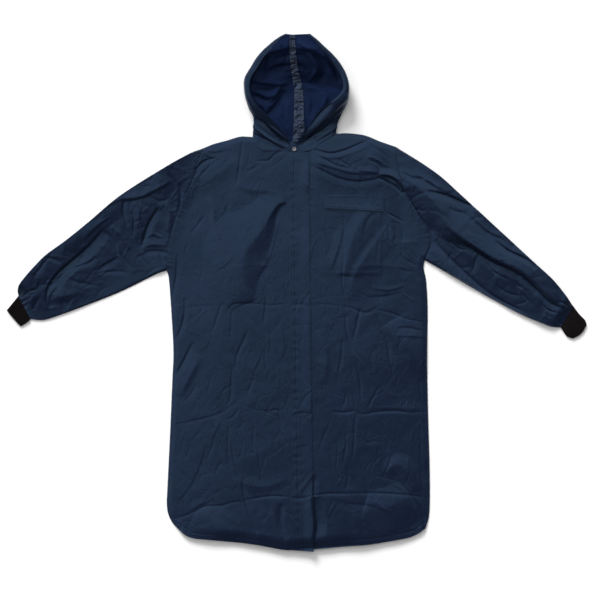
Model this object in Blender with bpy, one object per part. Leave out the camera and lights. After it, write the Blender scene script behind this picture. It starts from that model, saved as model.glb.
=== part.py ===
"""A long-sleeved, hooded rain poncho with a full front opening, laid flat on its back, face up.

Metres, +Z up out of the surface that it lies on, +Y towards the hood, +X towards the wearer's left.
The tables and the named sizes are in millimetres; mesh_object turns them into metres.
Right and left are the wearer's, so the right front is at -X.
"""
import math

import bmesh
import bpy
import numpy as np

MM = 0.001

# ---- driving dimensions, in millimetres ----
CLOTH = 1.2                # wall of the coated cloth
SEAM_GAP = 0.4             # between two pieces that are sewn together
LAYER_GAP = 0.3            # between two layers that lie on each other
KNIT = 1.8                 # wall of the ribbed knit cuff
RIB_HEIGHT = 0.9           # how far a rib stands out of the cuff
RIBS_PER_CUFF = 14
PLACKET_WIDTH = 53.0       # storm flap over the front opening
PLACKET_BOTTOM = (-696.5, -699.0)  # y of its lower corners, a little below the hem
POCKET_DEPTH = 182.0       # from under the flap's lower edge to the bottom of the pocket
SLEEVE_PUFF = 4.5          # air left in the middle of a sleeve
SLEEVE_GATHER = 2.4        # height of the gathers where a sleeve is sewn into its cuff
RUN_IN = 0.2               # share of a sleeve in which its air and its gathers build up
TUBE_EDGE = 0.03           # where a flattened tube turns over, as a share of its width
SLEEVE_TURN = 1.5          # how far the inside of a sleeve stays off its turned edges
CUFF_TURN = 0.6            # the same for a cuff
TAPE_HALF_WIDTH = 14.0     # tape that seals the hood's centre seam
TAPE = 1.0                 # its wall
TAPE_GAP = 0.6             # under it, where the crown is crooked
SNAP_RADIUS = 6.0
SNAP_HEIGHT = 2.6
SNAP_CENTRE = (-6.0, 392.0)
SNAP_BASE = 6.05           # its underside, on the front edge of the hood

LAYER = CLOTH + LAYER_GAP          # from one layer's underside to the next one's
FRONT_Z = LAYER                    # underside of the front panels, on the back panel
FACE_Z = FRONT_Z + CLOTH           # upper side of the front panels where nothing folds
POCKET_Z = FRONT_Z + LAYER         # underside of the pocket, on the left front

# ---- how finely the panels are divided ----
ARMHOLE_STEPS = 12
SIDE_STEPS = 32
NECK_STEPS = 6
SHOULDER_STEPS = 8
PLACKET_STEPS = 2
SLEEVE_STEPS = 18
CUFF_STEPS = 3
SNAP_STEPS = 20
CURVE_SAMPLES = 16

# ---- outline, x and y in millimetres ----
NECK_RIGHT = (-120, 426)
NECK_LEFT = (108, 435)
NECK_BACK = (5, 409)
NECK_FRONT_RIGHT = (-21, 384)
NECK_FRONT_LEFT = (32, 384)

SHOULDER_RIGHT = [(-120, 426), (-153, 427), (-188, 417), (-225, 407), (-255, 395)]
SHOULDER_LEFT = [(108, 435), (143, 436), (186, 430), (227, 414), (270, 399)]
ARMHOLE_RIGHT = [
    (-255, 395), (-272, 347), (-286, 298), (-317, 238), (-339, 168), (-349, 119), (-353, 63),
]
ARMHOLE_LEFT = [
    (270, 399), (275, 347), (289, 290), (322, 230), (355, 176), (363, 135), (348, 91),
]
SIDE_RIGHT = [
    (-353, 63), (-347, 37), (-340, -61), (-335, -158), (-338, -235), (-345, -398),
    (-351, -520), (-353, -570), (-349, -599), (-338, -622), (-323, -639),
]
SIDE_LEFT = [
    (348, 91), (345, 70), (352, 34), (356, -44), (355, -183), (357, -316),
    (361, -452), (362, -546), (360, -602), (351, -637),
]
HEM_RIGHT = [(-323, -639), (-288, -662), (-218, -670), (-121, -680), (-41, -694), (-7, -696)]
HEM_LEFT = [(351, -637), (322, -656), (288, -666), (207, -679), (134, -684), (46, -690)]
CENTRE_FRONT = [(-7, -696), (-10, -480), (-13, -289), (-17, -17), (-18, 119), (-21, 384)]
SLEEVE_TOP_RIGHT = [
    (-255, 395), (-292, 381), (-361, 342), (-476, 269), (-563, 196), (-622, 148),
    (-676, 109), (-703, 83), (-731, 52), (-750, 28), (-757, 10), (-756, -6),
]
SLEEVE_UNDER_RIGHT = [
    (-353, 63), (-388, 50), (-483, 4), (-599, -42), (-673, -68), (-698, -72), (-723, -69),
]
SLEEVE_TOP_LEFT = [
    (270, 399), (336, 358), (390, 320), (444, 271), (526, 195), (635, 94),
    (689, 45), (718, 12), (752, -34),
]
SLEEVE_UNDER_LEFT = [
    (348, 91), (395, 64), (444, 35), (499, 3), (553, -27), (608, -56),
    (662, -79), (692, -90), (717, -92),
]
CUFF_TOP_RIGHT = [(-757, -7), (-774, -28), (-788, -45)]
CUFF_UNDER_RIGHT = [(-724, -70), (-732, -78), (-750, -89)]
CUFF_TOP_LEFT = [(753, -35), (768, -55), (784, -72), (788, -84)]
CUFF_UNDER_LEFT = [(718, -92), (726, -104), (735, -116), (750, -122)]
CUFF_BOW = {"cuff_right": 1.0, "cuff_left": 7.0}   # how far the open end bulges

# chest pocket on the left front: x range, its bottom, and the flap's slanting lower edge
POCKET_X = (78.0, 232.0)
FLAP_X = (75.0, 236.0)
FLAP_TOP = 271.0
FLAP_BOTTOM_INNER = 232.0
FLAP_BOTTOM_OUTER = 223.0
POCKET_TOP = 263.0                                # its mouth, hidden under the flap
POCKET_BOTTOM = FLAP_BOTTOM_INNER - POCKET_DEPTH
POCKET_COLUMNS = 6
POCKET_ROWS = 7
FLAP_ROWS = 2
PRESSED_MARGIN = 38.0      # the cloth is flat under the pocket and this far round it

# ---- the largest folds: a ridge runs from start by way of mid to end ----
# start x, start y, mid x, mid y, end x, end y, half width, height
FOLDS = [
    (-45, 241, -121, 119, -127, -9, 34, 6.0),        # right chest, long slanting fold
    (-176, -53, -181, -153, -178, -276, 26, 4.0),    # right front below the waist
    (-173, -425, -129, -545, -110, -643, 28, 5.0),   # right front towards the hem
    (-306, -23, -314, -66, -320, -121, 24, 3.5),     # right side
    (-203, 364, -246, 331, -276, 287, 30, 7.0),      # gathers at the right sleeve cap
    (-32, 385, -94, 364, -131, 336, 24, 3.5),        # from the neck to the right shoulder
    (42, 396, 104, 393, 180, 418, 22, 4.5),          # from the neck to the left shoulder
    (47, 380, 136, 337, 227, 328, 25, 5.5),          # below it, across the left chest
    (205, 350, 259, 325, 287, 282, 28, 7.0),         # gathers at the left sleeve cap
    (262, -93, 295, -137, 347, -205, 28, 6.0),       # left front, slanting to the side
    (287, -512, 314, -561, 347, -637, 28, 5.5),      # left front, down to the hem corner
    (170, -47, 151, -153, 172, -284, 28, 4.0),       # left front below the waist
    (-328, -34, -165, -27, -23, -28, 22, 2.5),       # packing crease at the waist, right
    (-20, -31, 172, -31, 347, -39, 22, 2.5),         # packing crease at the waist, left
    (-339, -355, -230, -333, -23, -306, 22, 2.5),    # packing crease at the thigh, right
    (-20, -319, 200, -319, 352, -322, 22, 2.5),      # packing crease at the thigh, left
    (-344, -616, -176, -564, -18, -548, 22, 2.5),    # packing crease above the hem, right
    (-20, -539, 200, -545, 357, -550, 22, 2.5),      # packing crease above the hem, left
    (-507, 219, -589, 151, -676, 70, 26, 4.0),       # right sleeve, ridge along its top
    (-528, 176, -622, 94, -684, -9, 22, -4.0),       # right sleeve, groove below the ridge
    (-399, 255, -453, 173, -486, 86, 30, 4.0),       # right sleeve, slanting at the elbow
    (-358, 296, -372, 200, -399, 86, 26, 4.0),       # right sleeve, below its cap
    (368, 274, 423, 255, 480, 233, 26, 4.0),         # left sleeve, below its cap
    (417, 255, 553, 132, 706, 5, 28, 5.0),           # left sleeve, ridge along its top
    (414, 179, 567, 70, 716, -39, 22, -4.0),         # left sleeve, groove below the ridge
    (376, 146, 499, 29, 662, -61, 26, 4.0),          # left sleeve, ridge along its underside
]
FOLD_SAMPLES = 14          # points along each fold's crest
FOLD_ENDS = 0.08           # how near to nothing a fold runs out, as a share of half a turn

# ---- hood: a row for each section across it, from the neck to the top of the face opening ----
# the centre seam lies on the surface and climbs at the crown; the belly is the hood's outline
# seam x, seam y, seam z
HOOD_SEAM = [
    (5, 409.4, 0), (6, 428, 0), (6, 448, 0), (6, 471, 0), (6, 497, 0), (6, 524, 0), (5, 552, 0),
    (0, 582, 5), (-6, 612, 17), (-9, 640, 29), (-11, 665, 37), (-11, 684, 41), (-11, 697, 43),
]
# belly x, belly y, belly z, rim x, rim y, rim z
HOOD_RIGHT = [
    (-120, 426.4, 2.5, -21, 384.4, 5.0),
    (-118, 443, 6.0, -18, 404, 6.5),
    (-117, 459, 9.0, -25, 424, 13.0),
    (-118, 480, 12.0, -46, 447, 21.0),
    (-130, 501, 15.0, -78, 481, 31.0),
    (-138, 525, 17.0, -117, 515, 40.0),
    (-142, 552, 19.0, -134, 548, 47.0),
    (-141, 582, 22.0, -130, 581, 50.0),
    (-122, 616, 28.0, -111, 613, 51.0),
    (-100, 647, 34.0, -90, 644, 51.0),
    (-72, 673, 38.0, -64, 668, 50.0),
    (-47, 690, 41.0, -43, 686, 48.0),
    (-29, 699, 43.0, -27, 694, 46.5),
]
HOOD_LEFT = [
    (108, 435.4, 2.5, -18, 384.4, 5.0),
    (109, 446, 6.0, -2, 408, 6.0),
    (112, 459, 9.0, 13, 426, 13.0),
    (121, 478, 12.0, 34, 453, 22.0),
    (130, 500, 15.0, 62, 495, 32.0),
    (141, 525, 17.0, 106, 524, 41.0),
    (144, 549, 19.0, 130, 549, 47.0),
    (140, 578, 22.0, 130, 581, 50.0),
    (127, 608, 28.0, 115, 611, 51.0),
    (106, 636, 34.0, 94, 639, 51.0),
    (79, 662, 38.0, 68, 663, 50.0),
    (55, 684, 41.0, 46, 682, 48.0),
    (36, 699, 43.0, 31, 694, 46.5),
]
HOOD_FLOOR_SHARES = [0.0, 0.25, 0.5, 0.75, 0.92]      # from the centre seam out to the belly
BEND_SHARE = 0.55                                     # where a section turns the neck's corner
HOOD_SIDE_SHARES = [0.0, 0.12, 0.32, BEND_SHARE, 0.78, 1.0]  # from the belly up to the rim
CROWN_SAG = 0.2            # how much lower the crown is at the belly than at its seam
WALL_FULLNESS = 0.8        # below 1 the hood's side walls rise steeply first

# ---- colours: linear red, green, blue; then roughness ----
COATED_CLOTH = ((0.0152, 0.0284, 0.0578), 0.36)
HOOD_INSIDE = ((0.0194, 0.0194, 0.0578), 0.5)
KNIT_CUFF = ((0.0091, 0.0080, 0.0103), 0.95)
SEAL_TAPE = ((0.0740, 0.0865, 0.1529), 0.12)
SNAP_METAL = ((0.3050, 0.3050, 0.3185), 0.3)


def clear_scene():
    """Remove every object of the scene that this file is run in."""
    for item in list(bpy.data.objects):
        bpy.data.objects.remove(item, do_unlink=True)


def make_material(name, finish, metallic=0.0):
    """One plain Principled material from a colour and a roughness."""
    colour, roughness = finish
    material = bpy.data.materials.new(name)
    material.use_nodes = True
    shader = material.node_tree.nodes["Principled BSDF"]
    shader.inputs["Base Color"].default_value = (*colour, 1.0)
    shader.inputs["Roughness"].default_value = roughness
    shader.inputs["Metallic"].default_value = metallic
    return material


def mesh_object(name, points, faces, material):
    """One closed body from points in millimetres, with its faces turned outwards."""
    mesh = bpy.data.meshes.new(name)
    mesh.from_pydata([tuple(float(value) * MM for value in point) for point in points], [], faces)
    body = bmesh.new()
    body.from_mesh(mesh)
    bmesh.ops.recalc_face_normals(body, faces=body.faces)
    body.to_mesh(mesh)
    body.free()
    mesh.shade_smooth()
    mesh.materials.append(material)
    item = bpy.data.objects.new(name, mesh)
    bpy.context.collection.objects.link(item)
    return item


# ---- curves and patches in plan ----

def polyline_at(points, shares):
    """Points of a polyline at the given shares of its length."""
    points = np.asarray(points, dtype=float)
    steps = np.linalg.norm(np.diff(points, axis=0), axis=1)
    along = np.concatenate([[0.0], np.cumsum(steps)]) / steps.sum()
    return np.stack([np.interp(shares, along, points[:, k]) for k in range(points.shape[1])], axis=1)


def smooth_curve(points, steps):
    """Evenly spaced points on a soft curve through the given points (Catmull-Rom)."""
    p = np.asarray(points, dtype=float)
    p = np.vstack([2 * p[0] - p[1], p, 2 * p[-1] - p[-2]])
    t = np.linspace(0.0, 1.0, CURVE_SAMPLES + 1)[:-1, None]
    spans = []
    for k in range(1, len(p) - 2):
        slope_in = (p[k + 1] - p[k - 1]) / 2
        slope_out = (p[k + 2] - p[k]) / 2
        rise = p[k + 1] - p[k]
        spans.append(p[k] + slope_in * t + (3 * rise - 2 * slope_in - slope_out) * t ** 2
                     + (slope_in + slope_out - 2 * rise) * t ** 3)
    dense = np.vstack(spans + [p[-2][None]])
    return polyline_at(dense, np.linspace(0.0, 1.0, steps + 1))


def straight(start, end, steps):
    """Evenly spaced points on a straight line."""
    share = np.linspace(0.0, 1.0, steps + 1)[:, None]
    return np.asarray(start, dtype=float) * (1 - share) + np.asarray(end, dtype=float) * share


def join(*curves):
    """Curves end to end, with each shared point once."""
    return np.vstack([curves[0]] + [curve[1:] for curve in curves[1:]])


def shares_of(curve):
    """How far along the curve each of its points is, from 0 to 1."""
    steps = np.linalg.norm(np.diff(curve, axis=0), axis=1)
    return np.concatenate([[0.0], np.cumsum(steps)]) / steps.sum()


def patch(bottom, top, first, last):
    """Grid of points between four edges: a row for each point of first and last."""
    across = (shares_of(bottom) + shares_of(top))[None, :, None] / 2
    along = (shares_of(first) + shares_of(last))[:, None, None] / 2
    ruled = (1 - along) * bottom[None] + along * top[None]
    ruled = ruled + (1 - across) * first[:, None] + across * last[:, None]
    corners = (1 - along) * ((1 - across) * bottom[0] + across * bottom[-1])
    corners = corners + along * ((1 - across) * top[0] + across * top[-1])
    return ruled - corners


# ---- folds ----

def fold_height(plan):
    """Height of all the folds at each point of a plan grid."""
    height = np.zeros(plan.shape[:-1])
    t = np.linspace(0.0, 1.0, FOLD_SAMPLES)[:, None]
    taper = np.sqrt(np.sin(math.pi * (FOLD_ENDS + (1 - 2 * FOLD_ENDS) * t[:, 0])))
    for x0, y0, x1, y1, x2, y2, half_width, rise in FOLDS:
        start = np.array([x0, y0])
        mid = np.array([x1, y1])
        end = np.array([x2, y2])
        handle = 2 * mid - (start + end) / 2
        crest = (1 - t) ** 2 * start + 2 * t * (1 - t) * handle + t ** 2 * end
        away = np.linalg.norm(plan[..., None, :] - crest, axis=-1) / half_width
        profile = np.clip(1 - away ** 2, 0.0, None) ** 2 * taper
        height = height + rise * profile.max(axis=-1)
    return height


def pressed_flat(plan):
    """0 under the chest pocket, where the cloth is flat, rising to 1 away from it."""
    x = plan[..., 0]
    y = plan[..., 1]
    out_x = np.maximum(FLAP_X[0] - x, x - FLAP_X[1])
    out_y = np.maximum(POCKET_BOTTOM - y, y - FLAP_TOP)
    return np.clip((np.maximum(out_x, out_y) - PRESSED_MARGIN) / PRESSED_MARGIN, 0.0, 1.0)


# ---- walls ----

def grid_faces(rows, columns, base, turned):
    """Triangles between the points of one grid, split the same way on every layer of cloth."""
    faces = []
    for i in range(rows - 1):
        for j in range(columns - 1):
            a = base + i * columns + j
            across = a + columns + 1
            for face in ((a, a + 1, across), (a, across, a + columns)):
                faces.append(face[::-1] if turned else face)
    return faces


def border(rows, columns):
    """The grid's border as a loop of point numbers."""
    loop = [j for j in range(columns)]
    loop += [i * columns + columns - 1 for i in range(1, rows)]
    loop += [(rows - 1) * columns + j for j in range(columns - 2, -1, -1)]
    loop += [i * columns for i in range(rows - 2, 0, -1)]
    return loop


def wall(name, under, upper, material):
    """A closed sheet between two grids of points in space."""
    rows, columns = under.shape[:2]
    count = rows * columns
    faces = grid_faces(rows, columns, 0, True) + grid_faces(rows, columns, count, False)
    loop = border(rows, columns)
    for a, b in zip(loop, loop[1:] + loop[:1]):
        faces.append((a, b, b + count, a + count))
    points = np.vstack([under.reshape(-1, 3), upper.reshape(-1, 3)])
    return mesh_object(name, points, faces, material)


def raised(plan, height):
    """Plan points with a height each."""
    height = np.broadcast_to(height, plan.shape[:-1])
    return np.concatenate([plan, height[..., None]], axis=-1)


def tube(name, outer, inner, material):
    """A closed tube wall from outer and inner rings, open at both ends."""
    rings, around = outer.shape[:2]
    count = rings * around
    faces = []
    for i in range(rings - 1):
        for j in range(around):
            a = i * around + j
            b = i * around + (j + 1) % around
            faces.append((a, b, b + around, a + around))
            faces.append((count + a, count + a + around, count + b + around, count + b))
    for ring in (0, (rings - 1) * around):
        for j in range(around):
            a = ring + j
            b = ring + (j + 1) % around
            faces.append((a, b, count + b, count + a))
    points = np.vstack([outer.reshape(-1, 3), inner.reshape(-1, 3)])
    return mesh_object(name, points, faces, material)


# ---- body ----

def body_edges():
    """The sampled edges that the panels and the sleeves share."""
    return {
        "armhole_right": smooth_curve(ARMHOLE_RIGHT, ARMHOLE_STEPS),
        "armhole_left": smooth_curve(ARMHOLE_LEFT, ARMHOLE_STEPS),
        "shoulder_right": smooth_curve(SHOULDER_RIGHT, SHOULDER_STEPS),
        "shoulder_left": smooth_curve(SHOULDER_LEFT, SHOULDER_STEPS),
        "side_right": smooth_curve(SIDE_RIGHT, SIDE_STEPS),
        "side_left": smooth_curve(SIDE_LEFT, SIDE_STEPS),
        "centre": smooth_curve(CENTRE_FRONT, ARMHOLE_STEPS + SIDE_STEPS),
    }


def right_front_plan(edges):
    """Right front: columns from the centre front out to the side."""
    columns = NECK_STEPS + SHOULDER_STEPS
    bottom = smooth_curve(HEM_RIGHT[::-1], columns)
    top = join(straight(NECK_FRONT_RIGHT, NECK_RIGHT, NECK_STEPS), edges["shoulder_right"])
    outer = join(edges["armhole_right"], edges["side_right"])[::-1]
    return patch(bottom, top, edges["centre"], outer)


def left_front_plan(edges):
    """Left front: a strip under the placket, then the panel out to the side."""
    columns = NECK_STEPS + SHOULDER_STEPS
    inner = edges["centre"] + (SEAM_GAP, 0.0)
    placket_edge = edges["centre"] + (PLACKET_WIDTH, 0.0)
    placket_edge[0, 1] = HEM_LEFT[-1][1]
    bottom = smooth_curve(HEM_LEFT[::-1], columns)
    bottom[0] = placket_edge[0]
    top = join(straight(NECK_FRONT_LEFT, NECK_LEFT, NECK_STEPS), edges["shoulder_left"])
    outer = join(edges["armhole_left"], edges["side_left"])[::-1]
    panel = patch(bottom, top, placket_edge, outer)
    share = np.linspace(0.0, 1.0, PLACKET_STEPS + 1)[None, :-1, None]
    strip = inner[:, None] * (1 - share) + placket_edge[:, None] * share
    return np.concatenate([strip, panel], axis=1)


def front_height(plan):
    """Height of a front's folds, let down to nothing at the side and shoulder seams."""
    height = fold_height(plan) * pressed_flat(plan)
    height[:SIDE_STEPS + 1, -1] = 0.0
    height[-1, -SHOULDER_STEPS - 1:] = 0.0
    return np.clip(height, 0.0, None)


def make_front(name, plan, cloth):
    """One front panel, lying on the back and lifted by its folds."""
    height = front_height(plan)
    return wall(name, raised(plan, FRONT_Z + height), raised(plan, FACE_Z + height), cloth)


def make_back(edges, right_plan, left_plan, cloth):
    """The back, flat on the surface, with the fronts' own outline."""
    bottom = join(right_plan[0, ::-1], left_plan[0, PLACKET_STEPS:])
    neck_right = straight(NECK_RIGHT, NECK_BACK, NECK_STEPS)
    neck_left = straight(NECK_BACK, NECK_LEFT, NECK_STEPS)
    top = join(edges["shoulder_right"][::-1], neck_right, neck_left, edges["shoulder_left"])
    right = join(edges["armhole_right"], edges["side_right"])[::-1]
    left = join(edges["armhole_left"], edges["side_left"])[::-1]
    plan = patch(bottom, top, right, left)
    return wall("back_panel", raised(plan, 0.0), raised(plan, CLOTH), cloth)


def make_placket(left_plan, cloth):
    """The storm flap: the left front's first columns, moved out by one layer."""
    height = front_height(left_plan)[:, :PLACKET_STEPS + 1]
    plan = left_plan[:, :PLACKET_STEPS + 1].copy()
    plan[0, :, 1] = np.linspace(*PLACKET_BOTTOM, PLACKET_STEPS + 1)
    lift = FRONT_Z + LAYER + height
    return wall("front_placket", raised(plan, lift), raised(plan, lift + CLOTH), cloth)


def flat_piece(name, corners, rows, z, cloth):
    """A flat four-sided piece; corners: lower inner, lower outer, upper inner, upper outer."""
    first = straight(corners[0], corners[2], rows)
    last = straight(corners[1], corners[3], rows)
    bottom = straight(corners[0], corners[1], POCKET_COLUMNS)
    top = straight(corners[2], corners[3], POCKET_COLUMNS)
    plan = patch(bottom, top, first, last)
    return wall(name, raised(plan, z), raised(plan, z + CLOTH), cloth)


def make_pocket(cloth):
    """Patch pocket and its flap, each a layer further out, on the flat part of the left front."""
    pocket = [(x, y) for y in (POCKET_BOTTOM, POCKET_TOP) for x in POCKET_X]
    flat_piece("chest_pocket", pocket, POCKET_ROWS, POCKET_Z, cloth)
    flap = [(FLAP_X[0], FLAP_BOTTOM_INNER), (FLAP_X[1], FLAP_BOTTOM_OUTER)]
    flap += [(x, FLAP_TOP) for x in FLAP_X]
    flat_piece("pocket_flap", flap, FLAP_ROWS, POCKET_Z + LAYER, cloth)


# ---- sleeves and cuffs ----

def tube_shares(middle):
    """Shares across a flattened tube: both turned edges and the lines between them."""
    inner = [share for share in middle if TUBE_EDGE < share < 1 - TUBE_EDGE]
    return np.array([0.0, TUBE_EDGE] + inner + [1 - TUBE_EDGE, 1.0])


def flat_tube(name, outer_plan, inner_plan, top_height, thickness, material):
    """A tube pressed flat: it rests on its lower half and its upper half has the given height."""
    columns = outer_plan.shape[1]
    edge_z = thickness + LAYER_GAP / 2
    low = np.zeros(top_height.shape)
    low[:, [0, -1]] = edge_z
    high = top_height.copy()
    high[:, [0, -1]] = edge_z
    low_in = np.full(top_height.shape, thickness)
    low_in[:, [0, -1]] = edge_z
    high_in = np.maximum(top_height - thickness, thickness + LAYER_GAP)
    high_in[:, [0, -1]] = edge_z
    middle = slice(columns - 2, 0, -1)
    outer = np.concatenate([raised(outer_plan, low), raised(outer_plan, high)[:, middle]], axis=1)
    inner = np.concatenate([raised(inner_plan, low_in), raised(inner_plan, high_in)[:, middle]], axis=1)
    return tube(name, outer, inner, material)


def inset_rows(plan, distance):
    """The plan with both of its turned edges moved in by a distance."""
    inset = plan.copy()
    for edge, beside in ((0, 2), (1, 2), (-1, -3), (-2, -3)):
        step = plan[:, beside] - plan[:, edge]
        length = np.linalg.norm(step, axis=1)[:, None]
        inset[:, edge] = plan[:, edge] + step / length * np.minimum(distance, 0.3 * length)
    return inset


def make_sleeve(name, armhole, under_edge, top_edge, cloth):
    """One sleeve, from the armhole's own points to the gathers at the cuff."""
    away = np.array([-SEAM_GAP if armhole[0, 0] < 0 else SEAM_GAP, 0.0])
    first = smooth_curve(under_edge, SLEEVE_STEPS) + away
    last = smooth_curve(top_edge, SLEEVE_STEPS) + away
    shares = tube_shares(list(shares_of(armhole[::-1])[1:-1]))
    bottom = polyline_at(armhole[::-1], shares) + away
    top = polyline_at(straight(first[-1], last[-1], 1), shares)
    plan = patch(bottom, top, first, last)
    plan[0] = bottom
    along = np.linspace(0.0, 1.0, SLEEVE_STEPS + 1)[:, None]
    across = shares[None, :]
    rounded = np.sqrt(np.sin(math.pi * across))
    puff = SLEEVE_PUFF * np.clip(along / RUN_IN, 0, 1) * rounded
    towards_cuff = np.clip((along - 1 + RUN_IN) / RUN_IN, 0, 1)
    gathers = SLEEVE_GATHER * towards_cuff * (np.arange(len(shares)) % 2)[None, :]
    folds = fold_height(plan) * np.clip(3 * rounded ** 2, 0, 1)
    height = FACE_Z + np.clip(puff + gathers + folds, 0.0, None)
    return flat_tube(name, plan, inset_rows(plan, SLEEVE_TURN), height, CLOTH, cloth)


def make_cuff(name, under_edge, top_edge, knit):
    """One ribbed knit cuff: its ribs stand out of its upper side and it is plain underneath."""
    first = smooth_curve(under_edge, CUFF_STEPS)
    last = smooth_curve(top_edge, CUFF_STEPS)
    shares = tube_shares(list(np.linspace(TUBE_EDGE, 1 - TUBE_EDGE, 2 * RIBS_PER_CUFF + 1)))
    bottom = polyline_at(straight(first[0], last[0], 1), shares)
    top = polyline_at(straight(first[-1], last[-1], 1), shares)
    chord = (last[-1] - first[-1]) / np.linalg.norm(last[-1] - first[-1])
    away = np.array([chord[1], -chord[0]]) * (1 if name == "cuff_left" else -1)
    top = top + away * (CUFF_BOW[name] * np.sin(math.pi * shares))[:, None]
    plan = patch(bottom, top, first, last)
    rib = RIB_HEIGHT * (np.arange(len(shares)) % 2)
    height = np.broadcast_to(2 * KNIT + LAYER_GAP + rib, plan.shape[:2]).copy()
    return flat_tube(name, plan, inset_rows(plan, CUFF_TURN), height, KNIT, knit)


# ---- hood ----

def hood_section(seam, belly, rim, bend):
    """One section of a hood half: outer points, and the inner points one wall further in."""
    seam = np.asarray(seam, dtype=float)
    belly = np.asarray(belly, dtype=float)
    rim = np.asarray(rim, dtype=float)
    reach = (belly - seam)[:2] / np.linalg.norm((belly - seam)[:2])
    points = []
    outward = []
    for share in HOOD_FLOOR_SHARES:
        xy = seam[:2] * (1 - share) + belly[:2] * share
        points.append((*xy, seam[2] * (1 - CROWN_SAG * share)))
        outward.append(reach)
    if bend is None:
        bend = belly[:2] * (1 - BEND_SHARE) + rim[:2] * BEND_SHARE
    knots = np.array([belly[:2], bend, rim[:2]])
    knot_shares = [0.0, BEND_SHARE, 1.0]
    across = [np.interp(HOOD_SIDE_SHARES, knot_shares, knots[:, k]) for k in (0, 1)]
    side = np.stack(across, axis=1)
    before_side = np.vstack([side[:1] + reach, side[:-1]])
    for share, xy, before in zip(HOOD_SIDE_SHARES, side, before_side):
        rise = math.sin(math.pi / 2 * share) ** WALL_FULLNESS
        points.append((*xy, belly[2] + (rim[2] - belly[2]) * rise))
        outward.append((before - xy) / np.linalg.norm(before - xy))
    points = np.array(points)
    outward = np.array(outward)
    distance = np.einsum("ij,ij->i", np.gradient(points[:, :2], axis=0), outward)
    climb = np.gradient(points[:, 2])
    length = np.hypot(distance, climb)
    inward = np.concatenate([outward * (-climb / length)[:, None], (distance / length)[:, None]], axis=1)
    return points, points + inward * CLOTH


def hood_grids(rows, side):
    """Outer and inner grids of one hood half; side is -1 on the wearer's right and 1 on the left."""
    outer = []
    inner = []
    for index, (seam, row) in enumerate(zip(HOOD_SEAM, rows)):
        start = (seam[0] + side * SEAM_GAP / 2, seam[1], seam[2])
        bend = None
        if side > 0 and index == 0:
            bend = (NECK_FRONT_LEFT[0], NECK_FRONT_LEFT[1] + SEAM_GAP)
        points, inside = hood_section(start, row[:3], row[3:], bend)
        outer.append(points)
        inner.append(inside)
    return np.array(outer), np.array(inner)


def make_hood(cloth, tape):
    """Both hood halves, and the tape that seals their centre seam on the inside."""
    halves = {}
    for name, rows, side in (("hood_right", HOOD_RIGHT, -1), ("hood_left", HOOD_LEFT, 1)):
        outer, inner = hood_grids(rows, side)
        wall(name, outer, inner, cloth)
        halves[name] = inner
    lines = []
    for name in ("hood_right", "hood_left"):
        seam = halves[name][:, 0]
        beside = halves[name][:, 1]
        share = TAPE_HALF_WIDTH / np.linalg.norm(beside - seam, axis=1)[:, None]
        lines.append(seam * (1 - share) + beside * share)
    centre = (halves["hood_right"][:, 0] + halves["hood_left"][:, 0]) / 2
    under = np.stack([lines[0], centre, lines[1]], axis=1) + (0.0, 0.0, TAPE_GAP)
    wall("hood_seam_tape", under, under + (0.0, 0.0, TAPE), tape)


def make_snap(metal):
    """The snap fastener's cap: a turned disc with a rounded edge and a dished middle."""
    # radius and height of each ring, as shares of the cap's
    profile = [(0.96, 0.0), (1.0, 0.3), (0.93, 0.75), (0.75, 1.0), (0.5, 0.9)]
    dish = 0.8
    x, y = SNAP_CENTRE
    points = [(x, y, SNAP_BASE), (x, y, SNAP_BASE + SNAP_HEIGHT * dish)]
    for reach, rise in profile:
        radius = SNAP_RADIUS * reach
        z = SNAP_BASE + SNAP_HEIGHT * rise
        for k in range(SNAP_STEPS):
            turn = 2 * math.pi * k / SNAP_STEPS
            points.append((x + radius * math.cos(turn), y + radius * math.sin(turn), z))
    faces = []
    last = 2 + (len(profile) - 1) * SNAP_STEPS
    for k in range(SNAP_STEPS):
        after = (k + 1) % SNAP_STEPS
        faces.append((0, 2 + after, 2 + k))
        faces.append((1, last + k, last + after))
        for ring in range(2, last, SNAP_STEPS):
            below = (ring + k, ring + after)
            faces.append((*below, below[1] + SNAP_STEPS, below[0] + SNAP_STEPS))
    mesh_object("neck_snap", points, faces, metal)


def main():
    """Build the whole garment."""
    clear_scene()
    cloth = make_material("navy_coated_cloth", COATED_CLOTH)
    hood_cloth = make_material("navy_hood_cloth", HOOD_INSIDE)
    knit = make_material("black_rib_knit", KNIT_CUFF)
    tape = make_material("clear_seam_tape", SEAL_TAPE)
    metal = make_material("snap_metal", SNAP_METAL, metallic=1.0)
    edges = body_edges()
    right_plan = right_front_plan(edges)
    left_plan = left_front_plan(edges)
    make_back(edges, right_plan, left_plan, cloth)
    make_front("front_right", right_plan, cloth)
    make_front("front_left", left_plan, cloth)
    make_placket(left_plan, cloth)
    make_pocket(cloth)
    make_sleeve("sleeve_right", edges["armhole_right"], SLEEVE_UNDER_RIGHT, SLEEVE_TOP_RIGHT, cloth)
    make_sleeve("sleeve_left", edges["armhole_left"], SLEEVE_UNDER_LEFT, SLEEVE_TOP_LEFT, cloth)
    make_cuff("cuff_right", CUFF_UNDER_RIGHT, CUFF_TOP_RIGHT, knit)
    make_cuff("cuff_left", CUFF_UNDER_LEFT, CUFF_TOP_LEFT, knit)
    make_hood(hood_cloth, tape)
    make_snap(metal)


main()
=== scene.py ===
# %% [markdown]
# # A rain poncho with sleeves, laid flat
#
# The real thing is sewn from navy nylon with a thin waterproof coating: two fronts, a back, a
# storm flap, a pocket, two sleeves, knit cuffs and a hood, with a clear tape sealed over the
# hood's inner seam. It lies on its back on a white table, as a shop photographs it.
#
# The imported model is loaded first, as a frame that never moves. Every piece of cloth is then
# made as a thin shell in the place of its solid, so that it can carry finer creases.

# %% The frame
import math

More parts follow.
